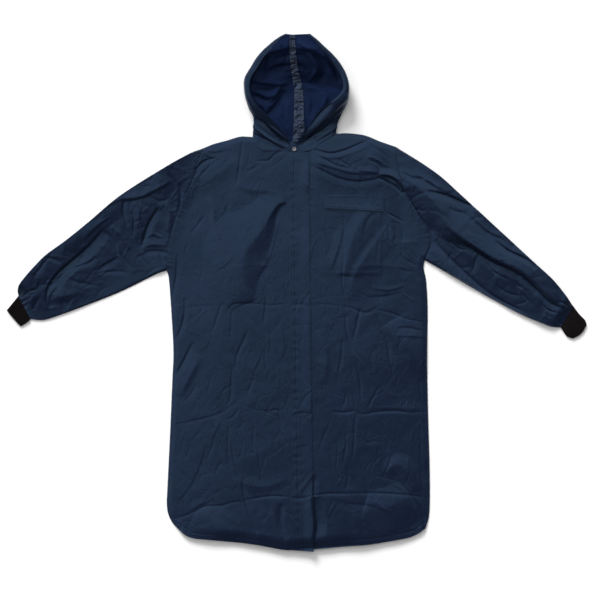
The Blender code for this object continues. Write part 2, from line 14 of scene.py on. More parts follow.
import bpy
import numpy as np
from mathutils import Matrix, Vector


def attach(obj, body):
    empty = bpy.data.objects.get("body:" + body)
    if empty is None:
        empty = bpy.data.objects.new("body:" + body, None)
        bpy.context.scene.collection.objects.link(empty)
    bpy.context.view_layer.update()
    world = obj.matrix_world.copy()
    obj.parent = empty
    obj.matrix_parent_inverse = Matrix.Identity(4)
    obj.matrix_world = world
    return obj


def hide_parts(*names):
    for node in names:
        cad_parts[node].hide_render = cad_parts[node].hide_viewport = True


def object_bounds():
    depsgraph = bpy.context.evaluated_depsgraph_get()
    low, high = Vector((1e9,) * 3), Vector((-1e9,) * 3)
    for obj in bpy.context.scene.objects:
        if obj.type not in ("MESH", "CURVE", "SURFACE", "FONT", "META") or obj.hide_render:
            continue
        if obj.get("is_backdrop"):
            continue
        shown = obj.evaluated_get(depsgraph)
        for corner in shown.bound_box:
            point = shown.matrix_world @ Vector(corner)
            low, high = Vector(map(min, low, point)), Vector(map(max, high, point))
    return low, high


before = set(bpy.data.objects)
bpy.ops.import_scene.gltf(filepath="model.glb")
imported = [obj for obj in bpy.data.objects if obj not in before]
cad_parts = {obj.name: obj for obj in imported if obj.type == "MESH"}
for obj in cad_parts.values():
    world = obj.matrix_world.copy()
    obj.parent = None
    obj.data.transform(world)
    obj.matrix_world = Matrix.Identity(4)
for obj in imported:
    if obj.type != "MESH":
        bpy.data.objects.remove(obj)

cad_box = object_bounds()
MM = 0.001
print("nodes:", sorted(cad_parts))

# %% [markdown]
# ## Where things are
#
# Lengths are written in millimetres, because a tailor thinks in them, and turned into metres
# when a mesh is made. The creases are easiest to place on a plan of the garment, so there is one
# more unit: a step of that plan, 2.72 mm, counted right and down from the plan's corner.

# %% Plan and curves
STEP = 2.72
PLAN_CENTRE = (296.6, 293.65)


def place(points):
    """Points of the plan as x and y in millimetres."""
    steps = np.asarray(points, dtype=float) - PLAN_CENTRE
    return steps * (STEP, -STEP)


def shares_of(line):
    """How far along the line each of its points is, from 0 to 1."""
    steps = np.linalg.norm(np.diff(line, axis=0), axis=1)
    return np.concatenate([[0.0], np.cumsum(steps)]) / steps.sum()


def even(points, count):
    """count + 1 evenly spaced points on a polyline."""
    points = np.asarray(points, dtype=float)
    along = shares_of(points)
    shares = np.linspace(0.0, 1.0, count + 1)
    return np.stack([np.interp(shares, along, column) for column in points.T], axis=1)


def spline(points, per_span):
    """A Catmull-Rom curve through the rows of an array, per_span steps between two rows."""
    p = np.asarray(points, dtype=float)
    p = np.concatenate([2 * p[:1] - p[1:2], p, 2 * p[-1:] - p[-2:-1]])
    t = np.linspace(0.0, 1.0, per_span + 1)[:-1].reshape((-1,) + (1,) * (p.ndim - 1))
    spans = []
    for k in range(1, len(p) - 2):
        start = (p[k + 1] - p[k - 1]) / 2
        end = (p[k + 2] - p[k]) / 2
        rise = p[k + 1] - p[k]
        spans.append(p[k] + start * t + (3 * rise - 2 * start - end) * t ** 2
                     + (start + end - 2 * rise) * t ** 3)
    return np.concatenate(spans + [p[-2:-1]])


def soft_line(points, count):
    """count + 1 evenly spaced points on a soft curve through the given ones."""
    return even(spline(points, 16), count)


def join(*lines):
    """Lines end to end, with each shared point once."""
    return np.vstack([lines[0]] + [line[1:] for line in lines[1:]])


def patch(bottom, top, first, last):
    """A grid of points between four edges, with a row for each point of first and last."""
    across = (shares_of(bottom) + shares_of(top))[None, :, None] / 2
    along = (shares_of(first) + shares_of(last))[:, None, None] / 2
    ruled = (1 - along) * bottom[None] + along * top[None]
    ruled = ruled + (1 - across) * first[:, None] + across * last[:, None]
    corners = (1 - along) * ((1 - across) * bottom[0] + across * bottom[-1])
    corners = corners + along * ((1 - across) * top[0] + across * top[-1])
    return ruled - corners


def distance_to(x, y, line):
    """How far each point is from a line, and how far along it its nearest point is, in mm."""
    best = np.full(x.shape, np.inf)
    along = np.zeros(x.shape)
    gone = 0.0
    for a, b in zip(line[:-1], line[1:]):
        step = b - a
        length = max(float(np.hypot(*step)), 1e-6)
        t = np.clip(((x - a[0]) * step[0] + (y - a[1]) * step[1]) / length ** 2, 0, 1)
        away = np.hypot(x - a[0] - t * step[0], y - a[1] - t * step[1])
        closer = away < best
        best = np.where(closer, away, best)
        along = np.where(closer, gone + t * length, along)
        gone += length
    return best, along


def smooth(values, low, high):
    """0 below low, 1 above high, and an even rise between."""
    t = np.clip((values - low) / (high - low), 0, 1)
    return t * t * (3 - 2 * t)


# %% [markdown]
# ## Creases
#
# Coated nylon doesn't drape in round folds. It keeps the sharp lines that it was packed in, and
# between them it lies in nearly flat facets. So a crease here is a line with a flank on each
# side of it, each with its own width, and the height falls away along the flanks to nothing. A
# negative height makes a trough. The large ones are placed one by one from tables; each row is
# a path on the plan, the flank on the left hand and on the right hand of someone who walks
# along the path, and a height, the last three in millimetres. A narrow crease is a line, not a
# furrow, so its flank on the window's side is made wider: then only its dark side is crisp.
#
# A cloth simulation was the other way to make them. It gives handsome folds, but not in the
# places where they lie on this garment, and the large ones are what the eye knows it by.

# %% One crease after another
# how blunt a crest is, as a share of its flank
CREST = 0.08
# a flank as wide as the second is straight, and one as narrow as the first is hollow
FLANK_WIDTHS = (14, 30)


def crease_height(x, y, creases):
    """The height that all the creases give at each point; a flank may have several widths."""
    total = np.zeros(x.shape)
    for path, left, right, height in creases:
        line = soft_line(path, 4 * len(path))
        left = np.atleast_1d(left).astype(float)
        right = np.atleast_1d(right).astype(float)
        reach = max(left.max(), right.max())
        low = line.min(axis=0) - reach
        high = line.max(axis=0) + reach
        near = np.nonzero((x > low[0]) & (x < high[0]) & (y > low[1]) & (y < high[1]))
        if not len(near[0]):
            continue
        px = x[near]
        py = y[near]
        best = np.full(px.shape, np.inf)
        side = np.zeros(px.shape)
        along = np.zeros(px.shape)
        spans = len(line) - 1
        for k in range(spans):
            a = line[k]
            step = line[k + 1] - a
            t = np.clip(((px - a[0]) * step[0] + (py - a[1]) * step[1]) / (step @ step), 0, 1)
            off_x = px - a[0] - t * step[0]
            off_y = py - a[1] - t * step[1]
            away = np.hypot(off_x, off_y)
            closer = away < best
            best = np.where(closer, away, best)
            side = np.where(closer, step[0] * off_y - step[1] * off_x, side)
            along = np.where(closer, (k + t) / spans, along)
        width = np.where(side > 0, np.interp(along, np.linspace(0, 1, len(left)), left),
                         np.interp(along, np.linspace(0, 1, len(right)), right))
        flank = np.clip(1 + CREST - np.sqrt((best / width) ** 2 + CREST ** 2), 0, None)
        flank = flank ** (1.6 - 0.6 * smooth(width, *FLANK_WIDTHS))
        total[near] += height * flank * np.sin(math.pi * along) ** 0.5
    return total


# %% Crumples
# corners of the facets along each side of the square that repeats
CORNERS = 64


def crumple(x, y, size, seed, stretch=1.0):
    """Flat facets like those of crumpled film, about size mm across; from about -0.5 to 0.5."""
    rng = np.random.default_rng(seed)
    corners = rng.random((CORNERS, CORNERS)) - 0.5
    turn = rng.uniform(0, math.pi)
    # two slow waves bend the grid of triangles, so that it doesn't show
    bent_x = (x + 0.30 * size * np.sin(y / size * 1.3 + seed)
              + 0.16 * size * np.sin(y / size * 3.1 + x / size))
    bent_y = (y + 0.30 * size * np.sin(x / size * 1.1 + 2 * seed)
              + 0.16 * size * np.sin(x / size * 2.7 - y / size))
    u = (bent_x * math.cos(turn) - bent_y * math.sin(turn)) / size
    v = (bent_x * math.sin(turn) + bent_y * math.cos(turn)) / (size * stretch) - 0.5 * u
    i = np.floor(u).astype(int)
    j = np.floor(v).astype(int)
    fu = u - i
    fv = v - j

    def corner(di, dj):
        return corners[(i + di) % CORNERS, (j + dj) % CORNERS]

    near, far = corner(0, 0), corner(1, 1)
    right, above = corner(1, 0), corner(0, 1)
    lower = near + fu * (right - near) + fv * (above - near)
    upper = far + (1 - fu) * (above - far) + (1 - fv) * (right - far)
    return np.where(fu + fv < 1, lower, upper)


# %% Loose creases, and creases from a table
# someone who walks this way has the window on the left hand
PAST_WINDOW = (0.76, 0.65)
# a crease with both flanks narrower than this is a line; a line's flank is never under the second
LINE_WIDTH = 16
LEAST_FLANK = 3.0


def loose_creases(seed, count, box, heading, spread, lengths, widths, heights):
    """Short creases strewn over a box of the plan, most of them along one heading in degrees."""
    rng = np.random.default_rng(seed)
    found = []
    for _ in range(count):
        middle = np.array([rng.uniform(box[0], box[2]), rng.uniform(box[1], box[3])])
        turn = math.radians(rng.normal(heading, spread))
        half = rng.uniform(*lengths) / 2
        way = np.array([math.cos(turn), math.sin(turn)]) * half
        bow = np.array([-way[1], way[0]]) * rng.normal(0, 0.18)
        width = rng.uniform(*widths)
        lean = rng.uniform(0.6, 1.9)
        height = rng.uniform(*heights) * rng.choice([-1, -1, 1])
        found.append(([middle - way, middle + bow, middle + way], width, width * lean, height))
    return found


def on_plan(table, depth=1.0, thin=1.0):
    """Creases of a table in millimetres; a narrow one gets a softer flank on its lit side."""
    found = []
    for path, left, right, height in table:
        path = place(path)
        if np.max(left) < LINE_WIDTH and np.max(right) < LINE_WIDTH:
            step = path[-1] - path[0]
            lit = (step[0] * PAST_WINDOW[0] + step[1] * PAST_WINDOW[1]) / np.hypot(*step)
            softer, crisper = 1 + 2.2 * abs(lit), 0.8
            if (lit > 0) == (height > 0):
                left, right = left * softer, right * crisper
            else:
                left, right = left * crisper, right * softer
            left, right = max(left * thin, LEAST_FLANK), max(right * thin, LEAST_FLANK)
            height = height * depth
        found.append((path, left, right, height))
    return found


# %% [markdown]
# ## From a grid to a piece of cloth
#
# A piece is a grid of points, with one face between each four. The grid's own rows and columns
# run along the cloth, so its UV map can simply be the way walked along them, in metres: woven
# patterns then follow the cloth as they do on the real thing. Solidify gives the thickness, and
# it is applied at once, so that what is left is a plain closed mesh.

# %% Mesh helpers
# faces that meet at more than this are a sharp edge
SHARP = math.radians(65)


def walked(grid):
    """For each point of a grid, how far it is along its row and along its column, in metres."""
    across = np.linalg.norm(np.diff(grid, axis=1), axis=2)
    along = np.linalg.norm(np.diff(grid, axis=0), axis=2)
    u = np.concatenate([np.zeros((len(grid), 1)), np.cumsum(across, axis=1)], axis=1)
    v = np.concatenate([np.zeros((1, grid.shape[1])), np.cumsum(along, axis=0)], axis=0)
    return np.stack([u, v], axis=2) * MM


def plain_mesh(item):
    """The object with its modifiers applied, as a plain mesh."""
    graph = bpy.context.evaluated_depsgraph_get()
    made = bpy.data.meshes.new_from_object(item.evaluated_get(graph))
    item.modifiers.clear()
    old = item.data
    item.data = made
    made.name = item.name
    bpy.data.meshes.remove(old)
    return item


def add_object(name, data):
    """An object in the scene, at the origin."""
    item = bpy.data.objects.new(name, data)
    bpy.context.scene.collection.objects.link(item)
    return item


def cloth_object(name, mesh, ways):
    """A smooth mesh with its UV map, as an object."""
    corner = np.zeros(len(mesh.loops), dtype=np.int32)
    mesh.loops.foreach_get("vertex_index", corner)
    mesh.uv_layers.new(name="cloth_way").data.foreach_set("uv", ways[corner].ravel())
    mesh.shade_smooth()
    return add_object(name, mesh)


# %% A shell from one grid
def cloth_piece(name, grid, thickness, closed=False, two_sided=False):
    """A thin shell on a grid of points in millimetres; closed joins its last column to the first."""
    rows, columns = grid.shape[:2]
    spans = columns if closed else columns - 1
    i, j = np.meshgrid(np.arange(rows - 1), np.arange(spans), indexing="ij")
    a = (i * columns + j).ravel()
    b = (i * columns + (j + 1) % columns).ravel()
    quads = np.stack([a, b, b + columns, a + columns], axis=1)
    points = grid.reshape(-1, 3) * MM
    middle = quads[len(quads) // 2]
    normal = np.cross(points[middle[1]] - points[middle[0]], points[middle[3]] - points[middle[0]])
    if not closed and normal[2] < 0:
        quads = quads[:, ::-1]
    mesh = bpy.data.meshes.new(name)
    mesh.from_pydata(points.tolist(), [], quads.tolist())
    if closed:
        top = max(mesh.polygons, key=lambda face: face.center.z)
        if top.normal.z < 0:
            mesh.flip_normals()
    item = cloth_object(name, mesh, walked(grid).reshape(-1, 2))
    shell = item.modifiers.new("wall", "SOLIDIFY")
    shell.thickness = thickness * MM
    shell.offset = -1.0
    if two_sided:
        mesh.materials.append(None)
        mesh.materials.append(None)
        shell.material_offset = 1
    plain_mesh(item)
    item.data.set_sharp_from_angle(angle=SHARP)
    print(f"{name}: {len(item.data.polygons)} faces")
    return item


# %% A shell with a coarser inside
def cloth_shell(name, grid, thickness, coarse=4):
    """A thin shell with a fine outer side and a coarser inner one, which lies under all creases."""
    lowest = np.pad(grid[..., 2], coarse, mode="edge")
    for axis in (0, 1):
        lowest = np.min([np.roll(lowest, k, axis) for k in range(-coarse, coarse + 1)], axis=0)
    inner = grid[::coarse, ::coarse].copy()
    inner[..., 2] = lowest[coarse:-coarse:coarse, coarse:-coarse:coarse] - thickness
    faces = []
    borders = []
    start = 0
    for part in (grid, inner):
        rows, columns = part.shape[:2]
        index = start + np.arange(rows * columns).reshape(rows, columns)
        quads = np.stack([index[:-1, :-1], index[:-1, 1:], index[1:, 1:], index[1:, :-1]], axis=2)
        quads = quads.reshape(-1, 4)
        faces += (quads if start == 0 else quads[:, ::-1]).tolist()
        borders.append(np.concatenate([index[0], index[1:, -1], index[-1, -2::-1], index[-2::-1, 0]]))
        start += rows * columns
    outer, under = borders
    for k in range(len(under) - 1):
        edge = outer[coarse * k:coarse * (k + 1) + 1]
        faces.append([*edge[::-1].tolist(), int(under[k]), int(under[k + 1])])
    if (grid[0, -1, 0] < grid[0, 0, 0]) == (grid[-1, 0, 1] > grid[0, 0, 1]):
        faces = [face[::-1] for face in faces]
    points = np.concatenate([grid.reshape(-1, 3), inner.reshape(-1, 3)]) * MM
    ways = np.concatenate([walked(grid).reshape(-1, 2), walked(inner).reshape(-1, 2)])
    mesh = bpy.data.meshes.new(name)
    mesh.from_pydata(points.tolist(), [], faces)
    item = cloth_object(name, mesh, ways)
    mesh.set_sharp_from_angle(angle=SHARP)
    print(f"{name}: {len(mesh.polygons)} faces")
    return item


# %% Heights and areas
def raised(plan_points, height):
    """Plan points in millimetres with a height each."""
    height = np.broadcast_to(height, plan_points.shape[:2])
    return np.concatenate([plan_points, height[..., None]], axis=2)


def cut_area(grid):
    """Area of a grid's cloth, one layer, in square metres."""
    d1 = grid[1:, 1:] - grid[:-1, :-1]
    d2 = grid[:-1, 1:] - grid[1:, :-1]
    if grid.shape[2] == 3:
        size = np.linalg.norm(np.cross(d1, d2), axis=2)
    else:
        size = np.abs(d1[..., 0] * d2[..., 1] - d1[..., 1] * d2[..., 0])
    return float(size.sum() / 2) * MM * MM


# %% [markdown]
# ## The cut
#
# These are the edges of the pieces as they lie, in millimetres, the same ones that the solids
# were made from. Right and left are the wearer's, so the right front is at negative x.

# %% Outlines
NECK_RIGHT = (-120, 426)
NECK_LEFT = (108, 435)
NECK_BACK = (5, 409)
NECK_FRONT_RIGHT = (-21, 384)
NECK_FRONT_LEFT = (32, 384)
SHOULDER_RIGHT = [(-120, 426), (-153, 427), (-188, 417), (-225, 407), (-255, 395)]
SHOULDER_LEFT = [(108, 435), (143, 436), (186, 430), (227, 414), (270, 399)]
ARMHOLE_RIGHT = [
    (-255, 395), (-272, 347), (-286, 298), (-317, 238), (-339, 168), (-349, 119), (-353, 63),
]
ARMHOLE_LEFT = [
    (270, 399), (275, 347), (289, 290), (322, 230), (355, 176), (363, 135), (348, 91),
]
SIDE_RIGHT = [
    (-353, 63), (-347, 37), (-340, -61), (-335, -158), (-338, -235), (-345, -398),
    (-351, -520), (-353, -570), (-349, -599), (-338, -622), (-323, -639),
]
SIDE_LEFT = [
    (348, 91), (345, 70), (352, 34), (356, -44), (355, -183), (357, -316),
    (361, -452), (362, -546), (360, -602), (351, -637),
]
HEM_RIGHT = [(-323, -639), (-288, -662), (-218, -670), (-121, -680), (-41, -694), (-7, -696)]
HEM_LEFT = [(351, -637), (322, -656), (288, -666), (207, -679), (134, -684), (46, -690)]
CENTRE_FRONT = [(-7, -696), (-10, -480), (-13, -289), (-17, -17), (-18, 119), (-21, 384)]
PLACKET_WIDTH = 53.0
SLEEVE_TOP_RIGHT = [
    (-255, 395), (-292, 381), (-361, 342), (-476, 269), (-563, 196), (-622, 148),
    (-676, 109), (-703, 83), (-731, 52), (-750, 28), (-757, 10), (-756, -6),
]
SLEEVE_UNDER_RIGHT = [
    (-353, 63), (-388, 50), (-483, 4), (-599, -42), (-673, -68), (-698, -72), (-723, -69),
]
SLEEVE_TOP_LEFT = [
    (270, 399), (336, 358), (390, 320), (444, 271), (526, 195), (635, 94),
    (689, 45), (718, 12), (752, -34),
]
SLEEVE_UNDER_LEFT = [
    (348, 91), (395, 64), (444, 35), (499, 3), (553, -27), (608, -56),
    (662, -79), (692, -90), (717, -92),
]
CUFF_TOP_RIGHT = [(-757, -7), (-774, -28), (-788, -45)]
CUFF_UNDER_RIGHT = [(-724, -70), (-732, -78), (-750, -89)]
CUFF_TOP_LEFT = [(753, -35), (768, -55), (784, -72), (788, -84)]
CUFF_UNDER_LEFT = [(718, -92), (726, -104), (735, -116), (750, -122)]

# %% Plans of the fronts
# steps of the grids along each edge, and across the strip that the storm flap covers
NECK_STEPS = 60
SHOULDER_STEPS = 96
ARMHOLE_STEPS = 150
SIDE_STEPS = 346
COVERED_STEPS = 16

armhole_right = soft_line(ARMHOLE_RIGHT, ARMHOLE_STEPS)
armhole_left = soft_line(ARMHOLE_LEFT, ARMHOLE_STEPS)
outer_right = join(armhole_right, soft_line(SIDE_RIGHT, SIDE_STEPS))[::-1]
outer_left = join(armhole_left, soft_line(SIDE_LEFT, SIDE_STEPS))[::-1]
centre_front = soft_line(CENTRE_FRONT, ARMHOLE_STEPS + SIDE_STEPS)
neck_line_right = join(even([NECK_FRONT_RIGHT, NECK_RIGHT], NECK_STEPS),
                       soft_line(SHOULDER_RIGHT, SHOULDER_STEPS))
neck_line_left = join(even([NECK_FRONT_LEFT, NECK_LEFT], NECK_STEPS),
                      soft_line(SHOULDER_LEFT, SHOULDER_STEPS))
hem_right = soft_line(HEM_RIGHT[::-1], NECK_STEPS + SHOULDER_STEPS)
plan_right = patch(hem_right, neck_line_right, centre_front, outer_right)

placket_edge = centre_front + (PLACKET_WIDTH, 0.0)
placket_edge[0, 1] = HEM_LEFT[-1][1]
hem_left = soft_line(HEM_LEFT[::-1], NECK_STEPS + SHOULDER_STEPS)
hem_left[0] = placket_edge[0]
panel_left = patch(hem_left, neck_line_left, placket_edge, outer_left)
share = np.linspace(0.0, 1.0, COVERED_STEPS + 1)[None, :-1, None]
under_placket = centre_front[:, None] * (1 - share) + placket_edge[:, None] * share
plan_left = np.concatenate([under_placket, panel_left], axis=1)
print("right front", plan_right.shape, "left front", plan_left.shape)

# %% [markdown]
# ## Large creases of the fronts
#
# The three level lines are where the garment was folded into its packet: at the waist, the
# thigh and just above the hem. The slanting ones on the chest, at the shoulders and under the
# arms come from the way that it was laid down.

# %% Creases of the right front: path on the plan, left flank, right flank, height
FRONT_RIGHT_CREASES = [
    # the large dark facet on the chest and the bright one beside it
    ([(286, 202), (276, 207), (262, 230), (247, 250), (243, 266), (245, 284), (251, 302)],
     (6, 16, 34, 58, 64, 36, 14), (30, 60, 95, 110, 90, 60), 9.5),
    ([(281, 218), (275, 237), (270, 256), (258, 276)], 5, 7, 1.6),
    # from the neck across to the shoulder
    ([(284, 151), (277, 153), (272, 157), (268, 160.5), (256, 161)], 4, 4, -2.4),
    ([(260, 164), (256, 167), (246, 172)], 4, 4, -1.6),
    ([(243, 137), (240, 160), (236, 188)], 5, 10, -2.2),
    ([(252, 140), (262, 150), (280, 150)], 12, 10, 1.8),
    ([(236, 184), (250, 190), (280, 192)], 24, 14, 1.4),
    # gathers at the sleeve cap: a bright pillow with a dark line along it
    ([(197, 188), (214, 177), (238, 160)], 38, 26, 1.6),
    ([(189, 186), (192, 176), (203, 162), (216, 158)], 6, 6, -6.0),
    ([(201, 149), (206, 157), (214, 159)], 5, 4, -3.0),
    ([(205, 150), (216, 152), (232, 148)], 8, 7, 1.8),
    ([(193, 176), (197, 174), (200, 170)], 3, 3, -2.0),
    ([(199, 178), (204, 172), (208, 171)], 3, 3, -2.1),
    ([(205, 171), (209, 167), (209, 163)], 3, 3, -2.0),
    ([(211, 166), (216, 161), (221, 160)], 3, 3, -1.8),
    ([(196, 181), (199, 183), (203, 184)], 3, 3, -1.6),
    ([(221, 167), (226, 162), (232, 160)], 3, 3, -1.4),
    # chest
    ([(204, 215), (199, 223), (190, 235)], 5, 7, -1.8),
    ([(188, 213), (193, 219), (197, 225)], 5, 8, -1.2),
    ([(207, 198), (213, 209), (214, 224), (220, 240)], 16, 10, 1.8),
    ([(187, 244), (185, 253), (190, 264)], 6, 6, -1.4),
    ([(232, 254), (229, 262), (214, 272)], 8, 12, 1.3),
    ([(224, 193), (226, 210), (222, 238)], 10, 14, -1.0),
    ([(177, 254), (176, 276), (171, 300)], 8, 7, -3.4),
    ([(203, 270), (199, 284), (202, 300)], 5, 8, -0.8),
    # the crease at the waist
    ([(226, 314), (230, 307), (235, 303.7), (247, 303.2), (262, 303.4)], 3.5, 4.5, -2.2),
    ([(256, 303.4), (272, 305), (290, 303)], 3.5, 4.5, -1.2),
    ([(172, 309), (196, 306), (226, 304)], 4, 6, -0.7),
    # waist to thigh
    ([(224, 302), (219, 311), (216, 321), (211, 334)], 5, 5, -1.6),
    ([(184, 297), (184.5, 312), (181, 328), (175, 340)], 8, 8, -3.6),
    ([(193, 342), (187, 354), (182, 364), (175, 376)], 8, 8, -3.0),
    ([(232, 309), (231, 322), (231, 340)], 7, 7, -2.2),
    ([(248, 329), (243, 341), (237, 355), (235, 369)], 5, 6, -2.4),
    ([(232, 342), (235, 351), (236, 360)], 4, 4, -1.4),
    ([(232, 366), (231, 384), (230, 398), (226, 405)], 7, 6, -2.4),
    ([(243, 370), (247, 379), (251, 390), (258, 399)], 4, 4, -1.7),
    ([(254, 373), (252, 382), (246, 395)], 4, 4, -1.7),
    ([(256, 390), (259, 400), (264, 408)], 4, 4, -1.4),
    ([(269, 326), (270.5, 341), (269, 355)], 5, 4, -1.2),
    ([(265, 346), (265, 358), (266, 370)], 4, 4, -1.2),
    ([(262, 356), (258, 365), (254, 373)], 4, 4, -1.0),
    ([(264, 289), (265.5, 302), (263, 324)], 7, 6, -2.2),
    ([(280, 379), (281, 390), (287, 399)], 4, 5, -1.4),
    ([(269, 412), (275, 409), (282, 412)], 3, 3, -1.0),
    ([(278, 411), (280, 420), (286, 431)], 5, 6, -2.0),
    ([(201, 356), (192, 372), (180, 396)], 16, 30, 2.2),
    ([(196, 383), (192, 392), (184, 402)], 6, 8, -1.3),
    ([(208, 370), (210, 380), (207, 394)], 5, 5, -1.0),
    ([(272, 312), (282, 330), (284, 360)], 10, 14, 1.2),
    # the crease at the thigh
    ([(172, 425), (192, 420.5), (212, 415.5), (225, 410), (238, 399)], 4, 5, -1.2),
    ([(227, 419), (234, 415), (239, 407)], 4, 4, -1.5),
    ([(238, 402), (262, 410), (290, 408)], 4, 6, -0.8),
    # thigh to hem
    ([(229, 421), (228, 440), (228.5, 460), (232, 476)], 5, 5, -2.2),
    ([(231, 442), (234, 460), (240, 476), (250, 497)], 6, 6, -2.8),
    ([(243, 476), (243, 490), (247, 508), (257, 533)], 10, 8, -3.2),
    ([(243, 438), (242, 449), (239, 458)], 4, 4, -1.1),
    ([(254.5, 423), (253, 438), (254, 450)], 4, 5, -1.6),
    ([(256, 445), (259, 458), (262, 481)], 4, 5, -1.8),
    ([(246, 448), (250, 452.5), (255, 451)], 3, 3, -1.0),
    ([(215, 438), (211, 449), (207, 459)], 4, 5, -1.5),
    ([(206, 444), (204, 456), (199, 470), (190, 488), (176, 505)], 12, 10, -1.6),
    ([(192, 444), (188, 451), (186, 458)], 4, 4, -1.2),
    ([(199, 430), (195, 437), (190, 441)], 4, 4, -1.0),
    ([(222, 418), (216, 431), (211, 440)], 6, 10, 1.4),
    ([(223, 460), (218, 466), (215, 472)], 4, 3, -1.2),
    ([(214, 470), (220, 471), (222, 478)], 3, 3, -1.0),
    ([(199, 480), (202, 475), (208, 473)], 3, 3, -1.0),
    ([(279, 428), (283, 437), (288, 446)], 5, 4, -1.3),
    ([(282, 449), (285, 459), (288, 467)], 6, 4, -1.6),
    ([(236, 480), (262, 486), (288, 478)], 22, 20, 1.4),
    # the crease above the hem
    ([(174, 518.5), (190, 513), (206, 505.6), (222, 504.6), (232, 501.4), (246, 500)], 4, 5, -2.4),
    ([(244, 499), (258, 496.6), (272, 494.8), (290, 495.6)], 4, 5, -2.4),
    ([(190, 510), (199, 504.5), (210, 500)], 9, 5, 1.8),
    # below it
    ([(203, 507), (210, 519), (220, 530), (230, 542)], (30, 50, 60, 50), (24, 70, 84, 60), 5.5),
    ([(176, 520), (183, 529), (196, 538)], 14, 8, -2.6),
    ([(265, 494), (268, 504), (272, 514)], 7, 6, -2.4),
    ([(242, 519), (246, 530), (248, 539)], 4, 4, -1.8),
    ([(282, 503), (281, 521), (286, 540)], 12, 16, -2.4),
    ([(277, 516), (283, 526), (282, 534)], 4, 4, -1.2),
]

